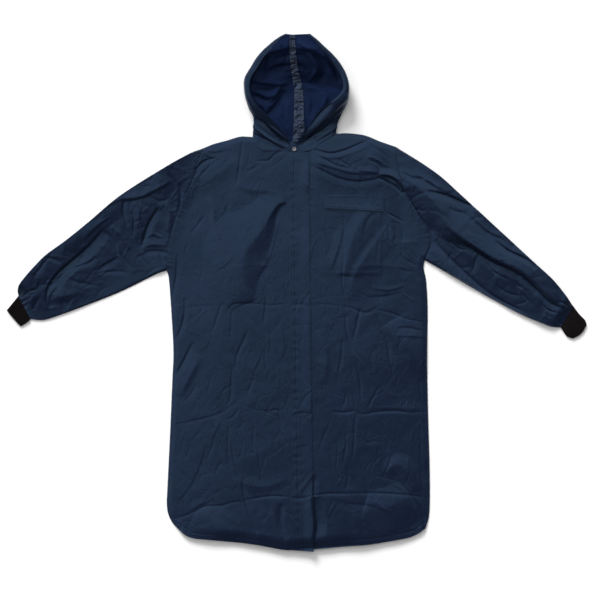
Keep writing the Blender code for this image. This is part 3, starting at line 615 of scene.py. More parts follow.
# %% Creases of the left front
FRONT_LEFT_CREASES = [
    # pulled from the neck across to the shoulder
    ([(306, 147), (318, 151), (332, 153.5), (348, 149), (370, 139)], 7, 7, -4.6),
    ([(312, 156), (332, 158), (350, 154), (372, 145)], 8, 14, 1.6),
    ([(311, 153), (324, 159), (338, 166), (354, 169)], 6, 8, -3.6),
    ([(312, 162), (334, 168), (352, 173), (378, 173)], 14, 12, 3.4),
    ([(309, 164), (325, 172), (340, 178.5), (358, 181.5), (382, 178)], 7, 12, -4.2),
    ([(338, 159), (345, 164), (352, 168)], 6, 5, -3.0),
    ([(366, 142), (378, 150), (392, 160)], 8, 10, -1.6),
    ([(368, 160), (376, 163.5), (384, 170)], 4, 3.5, -4.0),
    ([(366, 157), (376, 160), (388, 168)], 8, 4, 3.0),
    ([(357, 171), (368, 172), (380, 174)], 10, 8, 2.4),
    # gathers at the sleeve cap: one bright roll with a dark one under it
    ([(379, 174.5), (390, 176), (398, 181), (403, 191)], 18, 6, 7.5),
    ([(377, 177), (388, 182), (396, 187), (402, 194)], 6, 7, -9.0),
    ([(396, 184), (399, 200), (402, 222), (404, 242)], 40, 28, -4.4),
    ([(386, 212), (394, 216.5), (404, 222)], 6, 5, -4.4),
    ([(404, 190), (409, 204), (413, 222)], 14, 8, 2.0),
    ([(388, 224), (388, 233), (390, 243)], 4, 4, -2.4),
    ([(389, 224), (396, 223), (402, 230), (402, 246)], 4, 4, -1.8),
    ([(394, 226), (395, 236), (393, 246)], 4, 4, -1.2),
    ([(383, 241), (388, 248), (393, 256)], 4, 5, -1.8),
    ([(386, 239), (393, 244), (398, 253)], 4, 4, -1.2),
    ([(400, 256), (408, 261), (417, 266)], 4, 5, -1.9),
    ([(404, 246), (412, 254), (420, 262)], 5, 5, -1.2),
    # across the pocket
    ([(344, 212), (343, 232), (343, 258), (342, 284), (347, 306)], 4, 5, -2.5),
    ([(343, 226), (338, 248), (330, 270)], 8, 20, 1.6),
    ([(372, 208), (358, 226), (349, 250), (345, 276)], 52, 26, 4.6),
    ([(386, 226), (370, 250), (354, 276), (349, 300)], 48, 16, 2.6),
    ([(376, 212), (367, 220), (362, 236)], 8, 9, -1.6),
    ([(354, 226), (355, 240), (354, 256)], 4, 4, -0.8),
    ([(380, 218), (379, 236), (376, 262)], 5, 5, -1.2),
    ([(318, 236), (313, 246), (310, 262)], 8, 8, 1.2),
    ([(372, 288), (388, 290), (404, 286)], 7, 9, 1.8),
    ([(366, 297), (384, 296), (402, 292)], 8, 10, -1.6),
    ([(352, 268), (376, 266), (408, 268)], 10, 12, 1.0),
    ([(392, 262), (402, 270), (416, 272)], 4, 5, -1.1),
    # the crease at the waist
    ([(343, 306), (352, 307.5), (360, 311.5), (368, 312), (378, 306)], 4, 5, -2.2),
    ([(310, 305), (326, 304), (346, 307)], 4, 5, -1.0),
    ([(374, 309), (392, 313), (406, 318.5), (424, 322)], 4, 5, -1.9),
    # waist to thigh
    ([(360, 308), (357.5, 318), (353, 338)], 6, 7, -3.4),
    ([(345, 314), (345.5, 327), (348, 341), (353, 352)], 6, 7, -3.2),
    ([(350, 347), (357, 354), (364, 362)], 7, 8, -1.6),
    ([(342, 338), (341, 355), (338, 374)], 5, 6, -2.4),
    ([(375, 314), (381, 328), (387, 344), (389, 360), (393, 376)], 8, 9, -3.4),
    ([(390, 322), (398, 335), (410, 350), (427, 376)], 66, 34, 5.0),
    ([(380, 316), (389, 332), (396, 346)], 14, 10, 2.0),
    ([(397, 328), (409, 327.5), (423, 331)], 8, 9, -2.4),
    ([(396, 336), (412, 336), (425, 338)], 7, 6, 1.4),
    ([(378, 387), (373, 396), (369, 406)], 4, 5, -2.0),
    ([(355, 362), (359, 378), (360.5, 402)], 6, 5, -2.6),
    ([(352, 364), (352, 376), (357, 390)], 4, 4, -1.2),
    ([(345, 388), (345, 398), (341, 410)], 4, 4, -1.6),
    ([(352, 392), (354, 402), (354, 411)], 4, 4, -1.4),
    ([(395, 386), (402, 397), (406, 409)], 4, 4, -1.8),
    ([(400, 396), (406, 400), (404, 405)], 3, 3, -1.2),
    ([(376, 346), (370, 356), (372, 372)], 8, 7, -1.1),
    ([(318, 330), (326, 352), (324, 384)], 16, 22, 1.5),
    ([(419, 380), (421, 398), (425, 414)], 6, 8, -1.6),
    # the crease at the thigh
    ([(332, 411), (345, 411.6), (356, 409.6)], 4, 5, -2.2),
    ([(354, 411), (364, 413.4), (376, 411.2), (396, 410.4), (412, 412), (427, 411)], 4, 5, -2.6),
    ([(366, 408.6), (392, 407.6), (424, 408.6)], 5, 3, 0.9),
    # thigh to hem
    ([(355.5, 412), (354, 426), (353.5, 444), (351.5, 460)], 5, 5, -2.4),
    ([(345.5, 433), (345, 448), (342.5, 464)], 4, 5, -1.8),
    ([(346, 466), (347.5, 477), (345, 489)], 5, 5, -2.0),
    ([(330, 442), (331, 456), (332, 472)], 3, 4, -1.0),
    ([(337, 438), (337, 452), (336, 468)], 3, 4, -1.0),
    ([(330, 420), (324, 434), (318, 450)], 5, 6, -1.2),
    ([(386.5, 437), (387, 445), (386, 452)], 3, 3, -1.2),
    ([(391, 438), (391, 444), (391, 450)], 3, 3, -1.0),
    ([(363, 444), (372, 440), (382, 442)], 5, 5, -0.9),
    ([(391, 454), (388, 464), (383, 475)], 6, 5, -2.6),
    ([(384, 473), (392, 465), (402, 466), (409, 476), (414, 492)],
     (16, 30, 34, 30), (22, 34, 34, 26), 3.4),
    ([(386, 478), (393, 483.5), (402, 489)], 5, 5, 2.0),
    ([(398, 480), (406, 489), (413, 499), (421, 511), (428, 533)], 6, 6, -5.4),
    ([(410, 501), (417, 513), (425, 532)], 6, 9, 3.0),
    ([(420, 424), (420, 450), (422, 500)], 9, 8, -1.4),
    ([(363, 478), (366, 486), (368, 492)], 4, 4, -1.0),
    # the crease above the hem
    ([(313, 494), (330, 492.4), (350, 492.6)], 4, 5, -2.8),
    ([(347, 492), (372, 492), (392, 493), (408, 494.4), (427, 497)], 4, 5, -2.6),
    # below it
    ([(366, 500), (376, 503), (390, 505), (402, 500), (413, 492)],
     (30, 46, 52, 40), (60, 90, 100, 70), 6.0),
    ([(336, 499), (350, 503), (366, 504), (380, 508)], 8, 14, -2.2),
    ([(376, 506), (384, 508), (390, 512)], 4, 5, 1.8),
    ([(374, 500), (382, 506), (391, 512)], 5, 5, 1.6),
    ([(375, 529), (384, 533.5), (397, 536)], 5, 4, 1.8),
    ([(402, 532), (410, 529), (420, 528)], 5, 4, 1.5),
    ([(334, 499), (330, 505), (327, 513)], 3, 4, -1.2),
    ([(338, 502), (333, 510), (328, 520)], 4, 4, -1.0),
    ([(314, 474), (313.5, 486), (313, 499)], 9, 8, -4.0),
    ([(313, 497), (314.5, 508), (317, 524), (314, 541)], 26, 9, -7.0),
]

# %% Creases under the storm flap
CENTRE_CREASES = [
    ([(314, 472), (307, 482), (300, 492)], 10, 6, 2.0),
    ([(298, 262), (303, 274), (308, 290)], 8, 6, 1.4),
    ([(294, 292), (297, 300), (295, 312)], 6, 6, -1.4),
    ([(311, 290), (304, 300), (300, 306)], 5, 6, -1.2),
    ([(299, 370), (305, 380), (312, 386)], 6, 5, -1.3),
    ([(312, 390), (304, 397), (298, 409)], 6, 5, -1.2),
    ([(292, 415), (300, 412), (312, 413)], 4, 5, -1.6),
    ([(290, 306), (300, 304), (311, 306)], 4, 5, -1.5),
    ([(290, 496), (300, 497), (313, 494)], 4, 5, -1.8),
    ([(296, 503), (304, 514), (309, 530)], 8, 6, 1.4),
    ([(292, 330), (298, 345), (300, 362)], 8, 6, 1.0),
    ([(292, 440), (300, 446), (311, 443)], 4, 5, -0.8),
    ([(293, 205), (300, 212), (309, 210)], 5, 6, -0.7),
]
print("creases on the fronts:", len(FRONT_RIGHT_CREASES), len(FRONT_LEFT_CREASES), len(CENTRE_CREASES))

# %% [markdown]
# ## Large creases of the sleeves
#
# Each sleeve has one long ridge with a groove under it, from the shoulder towards the cuff, and
# short creases where the cloth is crumpled at the elbow and gathered near the cuff.

# %% Creases of the right sleeve
SLEEVE_RIGHT_CREASES = [
    # the groove that runs down to the cuff, and the long ridge above it
    ([(104, 229), (94, 241), (83, 252), (70, 263), (58, 274), (50, 285), (47, 296), (49, 308)],
     12, 8, -8.0),
    ([(124, 196), (105, 215), (82, 234), (60, 253), (40, 272), (26, 290)], 30, 60, 2.6),
    ([(112, 216), (98, 226), (84, 240)], 10, 8, 2.4),
    ([(97, 257), (88, 263), (75, 268)], 6, 7, -2.2),
    # near the cuff
    ([(62, 263), (55, 259), (46, 257.5)], 6, 6, -2.4),
    ([(46, 261), (40, 270), (34, 276)], 6, 6, -2.6),
    ([(20, 299), (30, 291), (38, 288), (41, 279)], 6, 7, -3.0),
    ([(39, 297), (36, 303), (33, 310)], 6, 5, -2.4),
    ([(48, 301), (62, 297), (84, 292)], 34, 16, 2.6),
    ([(58, 284), (50, 296), (48, 310)], 8, 8, 2.2),
    # under the sleeve cap
    ([(118, 200.5), (140, 198), (155, 191), (172, 182)], 13, 7, 4.4),
    ([(169, 175), (173, 180), (177, 186)], 5, 5, -2.6),
    ([(178, 184), (180.5, 198), (178, 214)], 7, 8, -3.2),
    # the crumpled place at the elbow
    ([(125, 199), (123.5, 213), (128, 227)], 7, 7, -3.2),
    ([(142, 204), (139.5, 218), (144, 237)], 12, 14, 2.2),
    ([(159, 208), (150, 222), (145, 235), (142, 247)], 8, 10, -5.0),
    ([(163, 200), (170, 214), (168, 232)], 14, 16, 2.4),
    ([(136, 239), (139, 245), (142, 252)], 5, 6, -2.2),
    ([(144, 247), (154, 245), (167, 246)], 10, 8, 2.6),
    ([(144, 252), (155, 250.5), (168, 252)], 6, 8, -2.4),
    ([(150, 224), (154, 234), (163, 238)], 8, 7, 2.6),
    ([(159, 254), (162, 262), (166, 272)], 6, 6, -2.2),
    ([(112, 226), (122, 236), (130, 250)], 14, 12, 2.6),
    ([(106, 232), (114, 242), (118, 256)], 8, 9, -2.6),
    # its lower side
    ([(96, 271), (108, 263), (119, 257)], 7, 8, -2.8),
    ([(100, 273), (114, 271), (129, 272)], 5, 6, -2.0),
    ([(119, 253), (124, 259), (129, 267)], 6, 6, -2.6),
    ([(140, 256), (148, 266), (152, 276)], 8, 8, -1.6),
    ([(66, 276), (78, 282), (92, 284)], 8, 9, -1.6),
    ([(150, 196), (160, 201), (170, 198)], 6, 7, -2.0),
    ([(130, 206), (134, 220), (133, 236)], 6, 6, -1.6),
]

# %% Creases of the left sleeve
SLEEVE_LEFT_CREASES = [
    # the long bright ridge, and the groove that runs under it to the cuff
    ([(398, 172), (412, 184), (428, 197), (440, 212), (448, 226), (458, 235.5), (470, 244),
      (482, 252), (496, 260.5), (509, 266), (522, 273), (534, 283), (544, 293), (556, 303)],
     (20, 34, 48, 54, 54, 48, 36, 20), (24, 46, 52, 34, 9, 8, 8, 8, 7), 13.5),
    ([(445, 228), (456, 238.5), (468, 247), (480, 255), (494, 263.5), (507, 269), (520, 276),
      (532, 286), (542, 296), (552, 304.5), (566, 309)], (4, 6, 6, 5), (14, 18, 18, 12), -5.0),
    ([(405, 190), (412, 208), (421, 223), (431, 238)], 30, 7, -4.6),
    # the second groove, and the cloth that falls from the first one towards it
    ([(424, 226), (430, 237), (436, 245), (446, 254), (458, 266), (472, 279), (485, 290), (500, 300),
      (518, 309), (540, 321)], (34, 44, 62, 66, 60, 46), (14, 22, 24, 18), -5.0),
    ([(432, 238), (446, 254), (458, 266), (472, 279), (485, 290), (500, 300), (520, 310)],
     8, 8, -5.5),
    # along its top edge
    ([(428, 191), (445, 195), (458, 200.5), (466, 204), (478, 207)], 5, 12, -6.0),
    ([(448, 208), (455, 211), (464, 213)], 5, 8, -2.4),
    ([(412, 172), (430, 183), (448, 193)], 12, 10, 3.2),
    ([(401, 172), (412, 178), (424, 179)], 6, 9, -3.2),
    ([(425, 181), (432, 186), (436, 192)], 5, 6, -2.0),
    ([(495, 241), (505, 249), (512, 253), (525, 259), (536, 268)], 5, 12, -5.5),
    ([(470, 216), (486, 230), (505, 240)], 12, 10, 3.0),
    ([(540, 262), (552, 276), (566, 290)], 12, 10, 3.0),
    # short ones
    ([(476, 256), (474, 263), (472, 272)], 5, 6, -2.6),
    ([(513, 280), (517, 285), (522, 288)], 5, 5, -2.4),
    ([(520, 293), (527, 300), (530, 306)], 5, 5, -2.0),
    ([(556, 318), (561, 314), (568, 310)], 5, 5, -3.2),
    ([(558, 301), (565, 304), (570, 309)], 5, 6, -3.0),
    ([(428, 228), (428.5, 240), (427, 251)], 7, 10, -6.0),
    ([(431, 230), (432, 242), (434, 250)], 6, 5, -2.5),
    ([(410, 214), (422, 226), (434, 236)], 10, 10, 2.6),
    ([(409, 196), (415, 212), (424, 226)], 7, 9, -3.2),
    ([(448, 240), (458, 248), (466, 250)], 5, 6, -2.0),
    ([(470, 262), (472, 270), (478, 278)], 5, 6, -2.0),
    ([(452, 252), (448, 258), (450, 264)], 5, 6, -1.6),
    ([(486, 262), (494, 272), (508, 280)], 6, 7, -2.2),
    ([(540, 300), (546, 309), (556, 313)], 6, 6, -2.4),
    ([(496, 284), (506, 292), (520, 296)], 6, 8, -2.0),
]
print("creases on the sleeves:", len(SLEEVE_RIGHT_CREASES), len(SLEEVE_LEFT_CREASES))

# %% [markdown]
# ## How the body lies
#
# The fronts lie on the back with a little air between them. One function gives the height of
# that cloth at any place, so that the storm flap, the pocket and its flap, which are sewn on top,
# follow the same creases a layer further out, and the stitches lie on them. On top of the large
# creases come small loose ones and the facets of crumpled cloth, in three sizes.

# %% Small forms
# facets of crumpled cloth: how many mm across, and how much longer than wide
FACETS = ((105, 1.4), (41, 1.3), (16, 1.0))


def keep_above(values, least, soft=1.0):
    """The values, eased so that none falls below the least one."""
    return least + soft * np.logaddexp(0, (values - least) / soft)


def puckers(away, along, height, reach, seed):
    """Ripples across a seam, of uneven length, that fade out away from it."""
    wave = np.sin(along / 2.7 + 1.9 * np.sin(along / 17 + seed) + 1.2 * np.sin(along / 7.3 + 2 * seed))
    swell = 0.55 + 0.45 * np.sin(along / 23 + 3 * seed)
    return height * swell * wave * np.exp(-away / reach)


def crumples(x, y, seed, heights=(2.6, 1.0, 0.4)):
    """Facets in three sizes."""
    return sum(height * crumple(x, y, size, seed + 20 * k, stretch)
               for k, (height, (size, stretch)) in enumerate(zip(heights, FACETS)))


def round_turn(away, radius):
    """A quarter circle: 0 at the turned edge and 1 from the radius inwards."""
    return np.sqrt(1 - (1 - np.clip(away / radius, 0, 1)) ** 2)


# %% The body's edges and creases
BODY_BOX = (-350, -690, 350, 400)
hem_line = np.vstack([soft_line(HEM_RIGHT, 120), soft_line(HEM_LEFT[::-1], 120)])
side_lines = [soft_line(SIDE_RIGHT, 90), soft_line(SIDE_LEFT, 90)]
shoulder_lines = [soft_line(SHOULDER_RIGHT, 24), soft_line(SHOULDER_LEFT, 24)]
armhole_lines = [soft_line(ARMHOLE_RIGHT, 60), soft_line(ARMHOLE_LEFT, 60)]
body_creases = on_plan(FRONT_RIGHT_CREASES + FRONT_LEFT_CREASES + CENTRE_CREASES, 0.5, 0.62)
body_creases += loose_creases(4, 340, BODY_BOX, 98, 34, (18, 80), (3, 5), (0.2, 0.55))
print("creases on the body, large and loose:", len(body_creases))

# %% The body's height
# heights over the table: of the cloth at rest, of the air under it, the least one, of the seams
REST = 5.2
BELLY = 14.0
LEAST = 2.6
SEAM_Z = 2.0
ARMHOLE_Z = 7.0
HEM_Z = 9.0
BODY_HALF = 350
# the hem is folded under this far
HEM_FOLD = 13.5
# where the hood weighs the cloth down, and how far round it
HOOD_PRESS = (-3, 405)
HOOD_PRESS_REACH = 62
# the radius of a turned edge
EDGE_ROUND = 2.5


def seam_level(y):
    """Height of the armhole seams: lowest under the arm."""
    return ARMHOLE_Z + 3.0 * smooth(y, 120, 330)


def sewn_down(height, y, away, along, reach, gathers, fade, seed, shift):
    """Cloth at an armhole: down to the seam from its reach inwards, with gathers and a dent."""
    level = seam_level(y)
    height = level + (height - level) * smooth(away, -6, reach)
    height += puckers(away, along, gathers, fade, seed)
    return height - 0.6 * (1 + 0.6 * np.sin(along / 26 + shift)) * np.exp(-(away / 3.0) ** 2)


def hem_fold(height, away, along):
    """Cloth at the hem: up to its own soft waves, a layer thicker over the fold, and stitched."""
    waves = HEM_Z + 1.2 * np.sin(along / 37) + 0.8 * np.sin(along / 16 + 1.3)
    height = waves + (height - waves) * smooth(away, -12, 34)
    stitched = 0.45 * np.exp(-((away - HEM_FOLD) / 2.2) ** 2)
    return height + (0.5 * smooth(HEM_FOLD - away, -1.5, 1.5) - stitched)


def body_height(x, y):
    """Height of the fronts' upper side over the table, in millimetres."""
    from_hood = (x - HOOD_PRESS[0]) ** 2 + (y - HOOD_PRESS[1]) ** 2
    dip = np.exp(-from_hood / (2 * HOOD_PRESS_REACH ** 2))
    belly = BELLY * np.clip(1 - (x / BODY_HALF) ** 2, 0, 1) * (0.38 + 0.62 * smooth(300 - y, 0, 450))
    height = REST + crumples(x, y, 11) + belly * (1 - 0.7 * dip)
    # the cloth below the left shoulder is drawn up a little
    drawn_up = smooth(y, 262, 366) * smooth(436 - y, 0, 70)
    drawn_up = drawn_up * smooth(x, 26, 70) * smooth(262 - x, 0, 60)
    height += 5.0 * drawn_up
    for seed, line in enumerate(armhole_lines):
        height = sewn_down(height, y, *distance_to(x, y, line), 34, 0.35, 13, seed, 2 * seed)
    height = keep_above(height + crease_height(x, y, body_creases), LEAST)
    hem, along = distance_to(x, y, hem_line)
    height = hem_fold(height + puckers(hem, along, 0.5, 12, 5), hem, along)
    edges = np.full(x.shape, np.inf)
    for line in side_lines + shoulder_lines:
        edges = np.minimum(edges, distance_to(x, y, line)[0])
    thinned = 0.55 + 0.45 * smooth(edges, 0, 16)
    height = SEAM_Z + (height - SEAM_Z) * thinned * round_turn(edges, EDGE_ROUND)
    return np.maximum(height, SEAM_Z)


# %% Lay the fronts
front_grids = {}
for side, plan in (("right", plan_right), ("left", plan_left)):
    front_grids[side] = raised(plan, body_height(plan[..., 0], plan[..., 1]))
    top = front_grids[side][..., 2]
    print(f"{side} front: height {top.min():.1f} to {top.max():.1f} mm, mean {top.mean():.1f}")

# %% [markdown]
# ## Fronts and back
#
# Each front is one cut of cloth, and the back another with the same outline, so side seams and
# shoulder seams meet. The back lies flat on the table and only lifts a little where it is
# creased, never as far as the front above it. Its grid is coarser, since hardly any of it shows.

# %% Fronts and back
# thickness of the cloth, which is about 0.2 in a real one, and the gap between sewn pieces
WALL = 0.6
GAP = 0.3
# the back takes every fourth row of the fronts
BACK_ROWS = 4
front_right = cloth_shell("cloth_front_right", front_grids["right"], WALL)
front_left = cloth_shell("cloth_front_left", front_grids["left"], WALL)

share = np.linspace(0, 1, 24)[:, None]
neck_right = np.array(NECK_RIGHT) * (1 - share) + np.array(NECK_BACK) * share
neck_left = np.array(NECK_BACK) * (1 - share) + np.array(NECK_LEFT) * share
back_top = join(soft_line(SHOULDER_RIGHT, 26)[::-1], neck_right, neck_left,
                soft_line(SHOULDER_LEFT, 26))
back_bottom = even(hem_line, len(back_top) - 1)
back_plan = patch(back_bottom, back_top, outer_right[::BACK_ROWS], outer_left[::BACK_ROWS])
back_x, back_y = back_plan[..., 0], back_plan[..., 1]
back_creases = loose_creases(21, 160, BODY_BOX, 95, 40, (60, 260), (9, 26), (0.8, 2.6))
lift = np.clip(np.abs(crease_height(back_x, back_y, back_creases)) - 0.15, 0, 1.2)
room = np.clip(body_height(back_x, back_y) - 2 * WALL - GAP - 1.5, 0, None)
back_grid = raised(back_plan, WALL + 0.05 + np.minimum(lift, room))
back = cloth_piece("cloth_back", back_grid, WALL)

# %% [markdown]
# ## Storm flap
#
# A strip of cloth that covers the front opening from the neck to the hem. It is sewn down along
# the wearer's right side with two rows of stitches and its other edge is loose, so that edge
# lifts a little, most at the chest and near the hem, and throws a shadow on the left front.

# %% Storm flap
# y of its two lower corners, its rows of stitches, and how far it lies over the front
PLACKET_BOTTOM = (-696.5, -699.0)
PLACKET_STITCHES = (4.5, 12.5)
STEP_UP = 1.3

placket_rows = soft_line(CENTRE_FRONT, 420)
placket_across = np.concatenate([np.linspace(0, 18, 13), np.linspace(20, PLACKET_WIDTH, 17)])
placket_plan = placket_rows[:, None] + np.stack([placket_across, 0 * placket_across], axis=1)[None]
placket_plan[0, :, 1] = np.interp(placket_across, (0, PLACKET_WIDTH), PLACKET_BOTTOM)


def loose_edge(y):
    """How far the flap's free edge lifts at each height on the garment."""
    lifts = 3.2 * smooth(y, 265, 300) * smooth(-y, -372, -330)
    lifts += 2.2 * np.exp(-((y - 130) / 60) ** 2) + 1.6 * np.exp(-((y + 90) / 80) ** 2)
    lifts += 1.4 * np.exp(-((y + 300) / 70) ** 2) + 4.0 * smooth(-y, 510, 575)
    return 0.8 + lifts


def placket_height(x, y, across):
    """Upper side of the storm flap."""
    height = body_height(x, y) + STEP_UP - 0.6 * smooth(y, 360, 384)
    height += loose_edge(y) * smooth(across, 16, PLACKET_WIDTH) ** 1.5
    for row in PLACKET_STITCHES:
        height -= 0.35 * np.exp(-((across - row) / 1.8) ** 2)
    ripple = np.sin(y / 4.1 + 1.7 * np.sin(y / 23)) * np.exp(-np.abs(across - 8.5) / 9)
    return height + 0.28 * ripple - 0.5 * smooth(2.0 - across, 0, 2.0)


across = np.broadcast_to(placket_across, placket_plan.shape[:2])
placket_top = placket_height(placket_plan[..., 0], placket_plan[..., 1], across)
placket_grid = raised(placket_plan, placket_top)
placket = cloth_piece("cloth_storm_flap", placket_grid, WALL)

# %% [markdown]
# ## Chest pocket
#
# A patch pocket with a flap. Both lie on the left front and keep its creases, and their folded
# edges are thicker, which shows as a soft step all round.

# %% Pocket and flap
# sides at x, lower edge at y on each side, upper edge at y; the flap hangs a little askew
POCKET_X = (78.0, 232.0)
POCKET_BOTTOM = (50.0, 50.0)
POCKET_TOP = 263.0
FLAP_X = (75.0, 236.0)
FLAP_BOTTOM = (232.0, 223.0)
FLAP_TOP = 271.0
# how far a row of stitches lies inside an edge
STITCH_INSET = 3.2


def four_sided(sides, bottom, top, columns, rows):
    """A plan grid between two sides, a lower edge that may be askew, and a level upper edge."""
    corner = np.array([*zip(sides, bottom), (sides[0], top), (sides[1], top)])
    s = np.linspace(0, 1, columns + 1)[None, :, None]
    t = np.linspace(0, 1, rows + 1)[:, None, None]
    lower = (1 - s) * corner[0] + s * corner[1]
    upper = (1 - s) * corner[2] + s * corner[3]
    return (1 - t) * lower + t * upper


def hemmed(plan, offset, edge_drop):
    """A sewn-on piece: the body's height, a layer up, with a thicker border and a stitch groove."""
    x, y = plan[..., 0], plan[..., 1]
    border = join(plan[0], plan[1:, -1], plan[-1, ::-1][1:], plan[::-1, 0][1:])
    away = distance_to(x, y, border)[0]
    height = body_height(x, y) + offset
    groove = 0.35 * np.exp(-((away - STITCH_INSET) / 1.5) ** 2)
    height += 0.3 * smooth(9 - away, -1.5, 1.5) - groove
    return raised(plan, height - edge_drop * smooth(2.5 - away, 0, 2.5))


pocket_plan = four_sided(POCKET_X, POCKET_BOTTOM, POCKET_TOP, 56, 76)
pocket = cloth_piece("cloth_pocket", hemmed(pocket_plan, STEP_UP - 0.3, 0.3), WALL)
flap_plan = four_sided(FLAP_X, FLAP_BOTTOM, FLAP_TOP, 64, 20)
flap_grid = hemmed(flap_plan, 2 * STEP_UP, 0.2)
flap_share = np.linspace(0, 1, flap_grid.shape[0])[:, None]
flap_grid[..., 2] += 2.0 * (1 - flap_share) ** 1.5
flap = cloth_piece("cloth_pocket_flap", flap_grid, WALL)

# %% [markdown]
# ## Sleeves
#
# A sleeve is a tube, sewn into the armhole and pressed flat. Its lower half lies on the table.
# The upper half holds some air, turns over in a tight round at both edges, and is drawn together
# in small gathers at the armhole and the cuff.

# %% Sleeve tube
SLEEVE_ROWS = 190
SLEEVE_COLUMNS = 92
# heights of the turned edges and of the end that the cuff is sewn to
TURN_Z = 1.5
WRIST_Z = 4.2


def tube_grid(plan, high, low, every_low=3):
    """The rings of a flattened tube: over its upper side and back along its lower one."""
    back_columns = np.arange(plan.shape[1] - 1 - every_low, 0, -every_low)
    return np.concatenate([raised(plan, high), raised(plan, low)[:, back_columns]], axis=1)


def sleeve_grid(armhole, under_edge, top_edge, table, rest, tilt, seed):
    """Rings of one sleeve, from its armhole to its cuff, and its plan."""
    aside = (-GAP if armhole[0, 0] < 0 else GAP, 0.0)
    first = soft_line(under_edge, SLEEVE_ROWS) + aside
    last = soft_line(top_edge, SLEEVE_ROWS) + aside
    plan = patch(even(armhole[::-1], SLEEVE_COLUMNS) + aside,
                 even([first[-1], last[-1]], SLEEVE_COLUMNS), first, last)
    x, y = plan[..., 0], plan[..., 1]
    share = np.linspace(0, 1, SLEEVE_COLUMNS + 1)[None, :]
    width = np.linalg.norm(last - first, axis=1)[:, None]
    away = np.minimum(share, 1 - share) * width
    seam, seam_along = distance_to(x, y, even(armhole, 60) + aside)
    cuff, cuff_along = distance_to(x, y, plan[-1, ::4])
    low = plan.min(axis=(0, 1))
    high = plan.max(axis=(0, 1))
    heading = 140 if armhole[0, 0] > 0 else 40
    creases = on_plan(table, 0.9, 0.75)
    creases += loose_creases(seed, 230, (*low, *high), heading, 42, (16, 64), (3.5, 6), (0.3, 1.0))
    height = rest + tilt * (share - 0.5) + crumples(x, y, seed, (3.6, 2.1, 0.9))
    height = sewn_down(height, y, seam, seam_along, 84, 0.4, 15, seed, seed)
    height = keep_above(height + crease_height(x, y, creases), LEAST + 0.3)
    height = WRIST_Z + (height - WRIST_Z) * smooth(cuff, -2, 30)
    height += puckers(cuff, 1.2 * cuff_along, 1.3, 22, seed + 1)
    height = np.maximum(height, LEAST)
    top = TURN_Z + (height - TURN_Z) * round_turn(away, EDGE_ROUND)
    bottom = TURN_Z - (TURN_Z - 0.1) * round_turn(away, 2 * EDGE_ROUND)
    return tube_grid(plan, top, np.broadcast_to(bottom, top.shape)), plan


# %% Both sleeves
# edges, creases, height at rest, how much higher the top edge lies than the lower one, seed
SLEEVES = {
    "right": (armhole_right, SLEEVE_UNDER_RIGHT, SLEEVE_TOP_RIGHT, SLEEVE_RIGHT_CREASES,
              12.5, 18.0, 61),
    "left": (armhole_left, SLEEVE_UNDER_LEFT, SLEEVE_TOP_LEFT, SLEEVE_LEFT_CREASES,
             15.0, 11.0, 71),
}
sleeves = {}
for side, sizes in SLEEVES.items():
    grid, plan = sleeve_grid(*sizes)
    sleeves[side] = (cloth_piece("cloth_sleeve_" + side, grid, WALL, closed=True), plan)

# %% [markdown]
# ## Knit cuffs
#
# The cuffs are rib knit: a soft tube with raised ribs along it. The tube is made like a sleeve.
# The ribs repeat, so Geometry Nodes lay them: lines along the cuff go in, and each becomes a
# rounded cord of knit.

# %% Node helpers
def add_node(tree, kind, inputs=None, **settings):
    """A node with its settings, and its inputs set or linked."""
    node = tree.nodes.new(kind)
    for key, value in settings.items():
        setattr(node, key, value)
    for key, value in (inputs or {}).items():
        if isinstance(value, bpy.types.NodeSocket):
            tree.links.new(value, node.inputs[key])
        else:
            node.inputs[key].default_value = value
    return node


def maths(tree, operation, *values, kind="ShaderNodeMath"):
    """The result of one operation on numbers, or on vectors."""
    return add_node(tree, kind, dict(enumerate(values)), operation=operation).outputs[0]


def nodes_group(name, sizes):
    """A Geometry Nodes tree with a geometry, named sizes and a material as inputs."""
    tree = bpy.data.node_groups.new(name, "GeometryNodeTree")
    tree.interface.new_socket("Geometry", in_out="INPUT", socket_type="NodeSocketGeometry")
    for size in sizes:
        tree.interface.new_socket(size, in_out="INPUT", socket_type="NodeSocketFloat")
    tree.interface.new_socket("Material", in_out="INPUT", socket_type="NodeSocketMaterial")
    tree.interface.new_socket("Geometry", in_out="OUTPUT", socket_type="NodeSocketGeometry")
    return tree, tree.nodes.new("NodeGroupInput")


def end_group(tree, source, geometry):
    """The end of each tree: instances made real, and the material set."""
    real = add_node(tree, "GeometryNodeRealizeInstances", {"Geometry": geometry})
    finish = add_node(tree, "GeometryNodeSetMaterial",
                      {"Geometry": real.outputs[0], "Material": source.outputs["Material"]})
    add_node(tree, "NodeGroupOutput", {0: finish.outputs[0]})


def lines_object(name, lines):
    """A mesh of edges along lines of points in millimetres."""
    points = []
    edges = []
    for line in lines:
        start = len(points)
        points += (np.asarray(line) * MM).tolist()
        edges += [(start + k, start + k + 1) for k in range(len(line) - 1)]
    mesh = bpy.data.meshes.new(name)
    mesh.from_pydata(points, edges, [])
    return add_object(name, mesh)


def run_nodes(item, tree, values):
    """Run a tree on an object and keep the result as its mesh."""
    modifier = item.modifiers.new(tree.name, "NODES")
    modifier.node_group = tree
    for socket in tree.interface.items_tree:
        if socket.in_out == "INPUT" and socket.name in values:
            modifier[socket.identifier] = values[socket.name]
    plain_mesh(item)
    print(f"{item.name}: {len(item.data.polygons)} faces")
    return item


